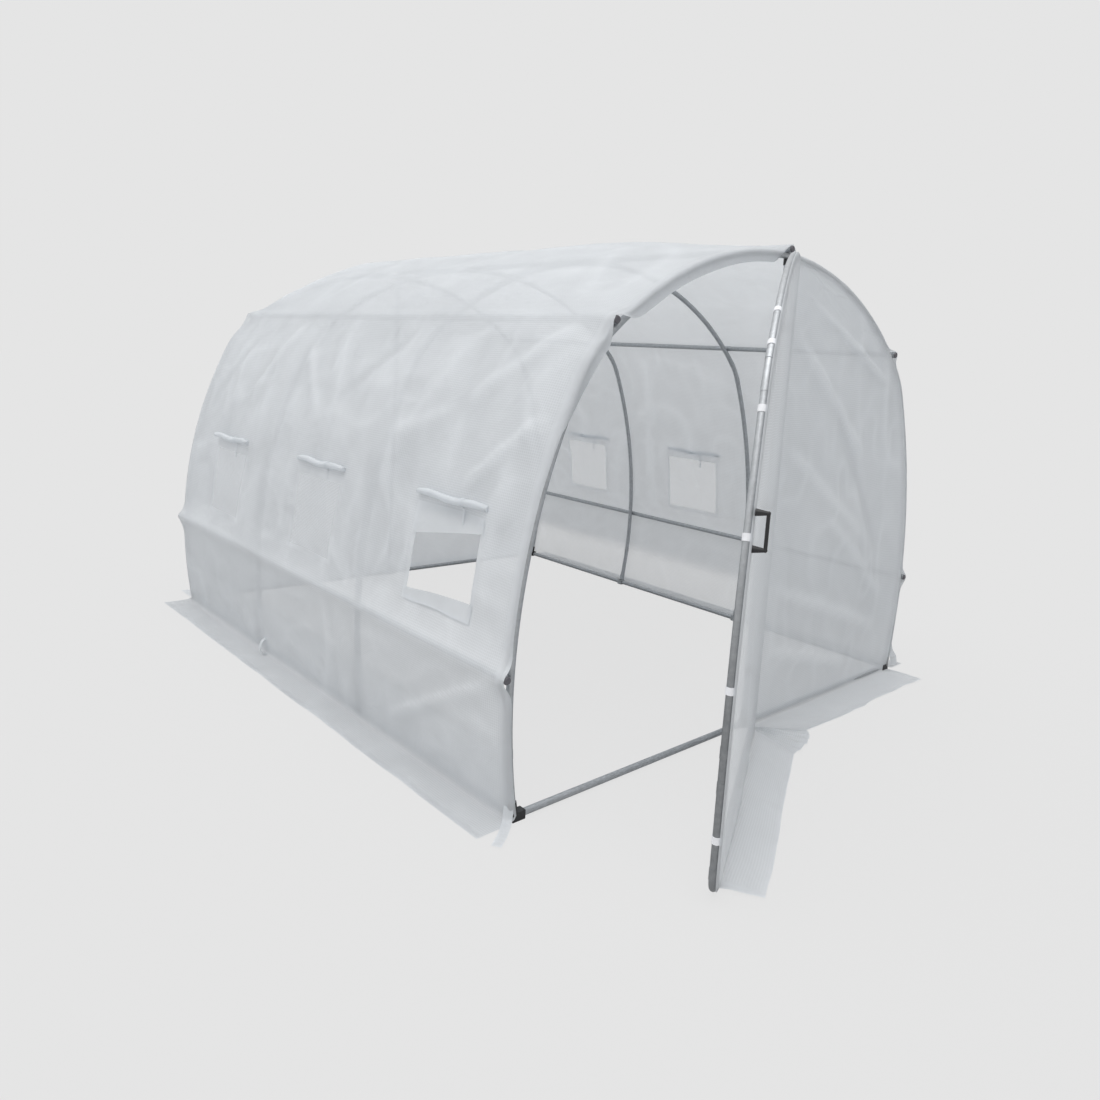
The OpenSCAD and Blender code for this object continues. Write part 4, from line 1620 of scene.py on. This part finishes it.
@dataclass(frozen=True)
class FilmFinish:
    """Woven translucent film: threads in a grid, doubled hems, soft grime, some see-through, and painted
    highlight and shade from the crease mark.
    """

    name: str
    colour: tuple[float, float, float] = (0.80, 0.825, 0.85)
    glow: tuple[float, float, float] = (0.80, 0.825, 0.85)
    through: float = 0.42
    clear: float = 0.15
    clear_doubled: float = 0.25
    sheer: float = 0.32
    pitch: float = 0.009
    roughness: float = 0.5
    specular: float = 0.25
    grime: float = 0.07
    rumple: float = 0.006
    # how strongly the crease mark paints highlight and shade into the colour
    crease: float = 0.06
    dust: float = 0.15

    def make(self, weave: bpy.types.NodeTree) -> bpy.types.Material:
        """Makes the material: a surface that reflects, lets light through, and is a little clear.

        Args:
            weave: the shared group of threads.

        Returns:
            The material.
        """
        material = bpy.data.materials.new(self.name)
        t = NodeTree.of(material)
        uv = t.add("ShaderNodeUVMap", uv_map="cloth").outputs["UV"]
        threads = t.add("ShaderNodeGroup", node_tree=weave, Vector=uv, Pitch=self.pitch)
        marks = {
            name: t.add("ShaderNodeAttribute", attribute_name=name).outputs["Fac"]
            for name in ("hem", "crease", "dust", "sheer")
        }
        grime = t.add("ShaderNodeTexNoise", Vector=uv, Scale=3.2, Detail=4.0, Roughness=0.6)
        tone = t.remap(grime.outputs["Fac"], (0.3, 0.7), (1.0 - self.grime, 1.0))
        # painted highlight and shade: the crease mark lightens the colour on ridges and darkens it in
        # valleys
        painted_light_tone = t.maths("MULTIPLY_ADD", marks["crease"], self.crease, 1.0)
        clean = t.maths("MULTIPLY_ADD", marks["dust"], -self.dust, 1.0)
        shade = t.maths("MULTIPLY", t.maths("MULTIPLY", tone, clean), painted_light_tone)
        rumple = t.add("ShaderNodeTexNoise", Vector=uv, Scale=5.0, Detail=3.0, Roughness=0.5, Distortion=1.0)
        bump = t.add("ShaderNodeBump", Strength=1.0, Distance=self.rumple, Height=rumple.outputs["Fac"])
        body = t.add(
            "ShaderNodeBsdfPrincipled",
            Base_Color=t.tint(self.colour, shade),
            Roughness=self.roughness,
            Specular_IOR_Level=self.specular,
            Normal=bump.outputs["Normal"],
        )
        back = t.add("ShaderNodeBsdfTranslucent", Color=(*self.glow, 1.0), Normal=bump.outputs["Normal"])
        cloth = t.mix(self.through, body.outputs["BSDF"], back.outputs["BSDF"])
        dense = t.maths("MAXIMUM", threads.outputs["Thread"], marks["hem"])
        see = t.remap(dense, (0.0, 1.0), (self.clear, self.clear * self.clear_doubled))
        more = t.maths("MULTIPLY_ADD", marks["sheer"], self.sheer, see, use_clamp=True)
        clear = t.add("ShaderNodeBsdfTransparent")
        t.add("ShaderNodeOutputMaterial", Surface=t.mix(more, cloth, clear.outputs["BSDF"]))
        return material


@dataclass(frozen=True)
class SolidFinish:
    """A hard finish with a cloudy tone: galvanised steel, moulded plastic or woven tape."""

    name: str
    colour: tuple[float, float, float]
    metallic: float
    roughness: float
    cloud: float
    scale: float
    grime: float = 0.0
    grime_top: float = 1.15

    def make(self) -> bpy.types.Material:
        """Makes the material.

        Returns:
            The material, with its tone clouded by noise in object space and dulled towards the ground.
        """
        material = bpy.data.materials.new(self.name)
        t = NodeTree.of(material)
        place = t.add("ShaderNodeTexCoord").outputs["Object"]
        noise = t.add("ShaderNodeTexNoise", Vector=place, Scale=self.scale, Detail=3.0)
        tone = t.remap(noise.outputs["Fac"], (0.3, 0.7), (1.0 - self.cloud, 1.0))
        height = t.add("ShaderNodeSeparateXYZ", Vector=place).outputs["Z"]
        clean = t.remap(height, (0.5 * self.grime_top, self.grime_top), (1.0 - self.grime, 1.0))
        tint = t.tint(self.colour, t.maths("MULTIPLY", tone, clean))
        body = t.add(
            "ShaderNodeBsdfPrincipled", Base_Color=tint, Metallic=self.metallic, Roughness=self.roughness
        )
        t.add("ShaderNodeOutputMaterial", Surface=body.outputs["BSDF"])
        return material


@dataclass
class FrameDressing:
    """Puts the finishes on the frame's shown nodes."""

    steel: bpy.types.Material
    handled: bpy.types.Material
    plastic: bpy.types.Material
    faded: bpy.types.Material
    tape: bpy.types.Material
    black: tuple[str, ...] = ("post_feet", "post_heads", "corner_feet", "door_handle", "hinge_clips")

    def dress(self) -> None:
        """Dresses every node of the frame that is shown: steel, unless it is named otherwise."""
        finishes = {name: (self.plastic, "black_plastic") for name in self.black}
        finishes["tube_plugs"] = (self.faded, "black_plastic")
        finishes["door_frame"] = (self.handled, "galvanised_tube")
        finishes["door_ties"] = (self.tape, "woven_cover")
        for name, node in frame["nodes"].items():
            if not node.hide_render:
                dress(node, *finishes.get(name, (self.steel, "galvanised_tube")))


@dataclass
class Studio:
    """Camera, light, floor and background."""

    place: tuple[float, float, float] = (-2.899, -1.999, 1.488)
    yaw: float = math.radians(-44.73)
    pitch: float = math.radians(7.93)
    roll: float = math.radians(3.98)
    lens: float = 27.44
    shift: tuple[float, float] = (-0.0532, -0.0579)
    sky: float = 0.60
    sky_lean: tuple[float, float, float] = (-0.08, 0.22, 0.20)
    sun: float = 2.0
    sun_way: tuple[float, float, float] = (0.25, 0.10, -1.0)
    sun_spread: float = math.radians(65.0)
    backdrop: float = 0.783
    floor_tone: float = 0.52
    floor_shade: float = 0.10
    floor_half: float = 60.0
    floor_low: float = 0.001

    def camera(self) -> None:
        """Puts the camera where the photo was taken from."""
        data = bpy.data.cameras.new("camera")
        data.sensor_width = 36.0
        data.lens = self.lens
        data.shift_x, data.shift_y = self.shift
        data.clip_end = 200.0
        level = Vector((math.cos(self.yaw), math.sin(self.yaw), 0.0))
        flat = math.cos(self.pitch)
        ahead = Vector((-math.sin(self.yaw) * flat, math.cos(self.yaw) * flat, -math.sin(self.pitch)))
        up = level.cross(ahead)
        right = math.cos(self.roll) * level + math.sin(self.roll) * up
        top = -math.sin(self.roll) * level + math.cos(self.roll) * up
        turn = Matrix((right, top, -ahead)).transposed().to_4x4()
        eye = bpy.data.objects.new("camera", data)
        eye.matrix_world = Matrix.Translation(self.place) @ turn
        bpy.context.scene.collection.objects.link(eye)
        bpy.context.scene.camera = eye

    def light(self) -> None:
        """A soft sky, brighter above and behind, plain as the camera sees it, and a broad sun."""
        world = bpy.data.worlds.new("sky")
        bpy.context.scene.world = world
        t = NodeTree.of(world)
        seen = t.add("ShaderNodeLightPath").outputs["Is Camera Ray"]
        ray = t.add("ShaderNodeNewGeometry").outputs["Incoming"]
        lean = t.add("ShaderNodeVectorMath", operation="DOT_PRODUCT")
        t.feed(ray, lean.inputs[0])
        t.feed([-part for part in self.sky_lean], lean.inputs[1])
        power = t.maths("ADD", lean.outputs["Value"], self.sky)
        glow = t.add("ShaderNodeBackground", Color=WHITE, Strength=power)
        plain = t.add("ShaderNodeBackground", Color=WHITE, Strength=self.backdrop)
        sky = t.mix(seen, glow.outputs["Background"], plain.outputs["Background"])
        t.add("ShaderNodeOutputWorld", Surface=sky)
        lamp = bpy.data.lights.new("sun", "SUN")
        lamp.energy = self.sun
        lamp.angle = self.sun_spread
        sun = bpy.data.objects.new("sun", lamp)
        sun.rotation_euler = Vector(self.sun_way).to_track_quat("-Z", "Y").to_euler()
        bpy.context.scene.collection.objects.link(sun)

    def floor(self) -> None:
        """A plain pale floor, as bright as the background to the camera, with a light shadow on it."""
        half, low = self.floor_half, -self.floor_low
        mesh = bpy.data.meshes.new("floor")
        corners = [(-half, -half, low), (half, -half, low), (half, half, low), (-half, half, low)]
        mesh.from_pydata(corners, [], [(0, 1, 2, 3)])
        floor = bpy.data.objects.new("floor", mesh)
        bpy.context.scene.collection.objects.link(floor)
        material = bpy.data.materials.new("floor")
        t = NodeTree.of(material)
        down = -Vector(self.sun_way).normalized().z
        lit = self.floor_tone * (self.sky + self.sky_lean[2] * 2.0 / 3.0 + self.sun * down / math.pi)
        fill = (self.backdrop - self.floor_shade * lit) / (1.0 - self.floor_shade)
        body = t.add("ShaderNodeBsdfDiffuse", Color=(*[self.floor_tone] * 3, 1.0))
        white = t.add("ShaderNodeEmission", Strength=fill)
        seen = t.add("ShaderNodeLightPath").outputs["Is Camera Ray"]
        share = t.maths("MULTIPLY", seen, 1.0 - self.floor_shade)
        surface = t.mix(share, body.outputs["BSDF"], white.outputs["Emission"])
        t.add("ShaderNodeOutputMaterial", Surface=surface)
        mesh.materials.append(material)

    def build(self) -> None:
        """Sets up camera, light, floor and the plain view transform."""
        bpy.context.scene.view_settings.view_transform = "Standard"
        self.camera()
        self.light()
        self.floor()


def main() -> None:
    """Builds the sub-assemblies in order, dresses them and sets the studio."""
    logging.basicConfig(level=logging.INFO, format="%(message)s")
    hoop = HoopShape()
    cover = Cover(hoop)
    front = EndPanel(hoop, Facing.FRONT, 0.0, folds=FRONT_FOLDS, sheet_gap=0.0012)
    back = EndPanel(hoop, Facing.BACK, cover.length, half=False, cols=130, seed=27)
    door = DoorCloth(hoop)
    gather = HingeGather(front, door)
    rolls, trims, straps, nets = FlapRolls(cover), OpenWindow(cover), Straps(), WindowNets(cover)
    for part in (cover, front, back, door, gather, rolls, trims, straps, nets):
        part.build()
    weave = weave_group()
    film = FilmFinish("woven_film").make(weave)
    net = FilmFinish("window_net", clear=0.42, pitch=0.006, through=0.35).make(weave)
    for part in (cover, front, back, door, rolls, trims, straps, nets, gather):
        part.dress(net if part is nets else film)
    steel = SolidFinish("galvanised_steel", (0.52, 0.54, 0.56), 0.85, 0.50, 0.18, 60.0)
    handled = replace(steel, name="handled_steel", grime=0.42)
    plastic = SolidFinish("black_plastic", (0.018, 0.018, 0.020), 0.0, 0.45, 0.2, 30.0)
    faded = replace(plastic, name="faded_plastic", colour=(0.13, 0.125, 0.14), roughness=0.55)
    tape = SolidFinish("white_tape", (0.82, 0.83, 0.86), 0.0, 0.7, 0.06, 80.0)
    FrameDressing(*[finish.make() for finish in (steel, handled, plastic, faded, tape)]).dress()
    Studio().build()


if __name__ == "__main__":
    main()
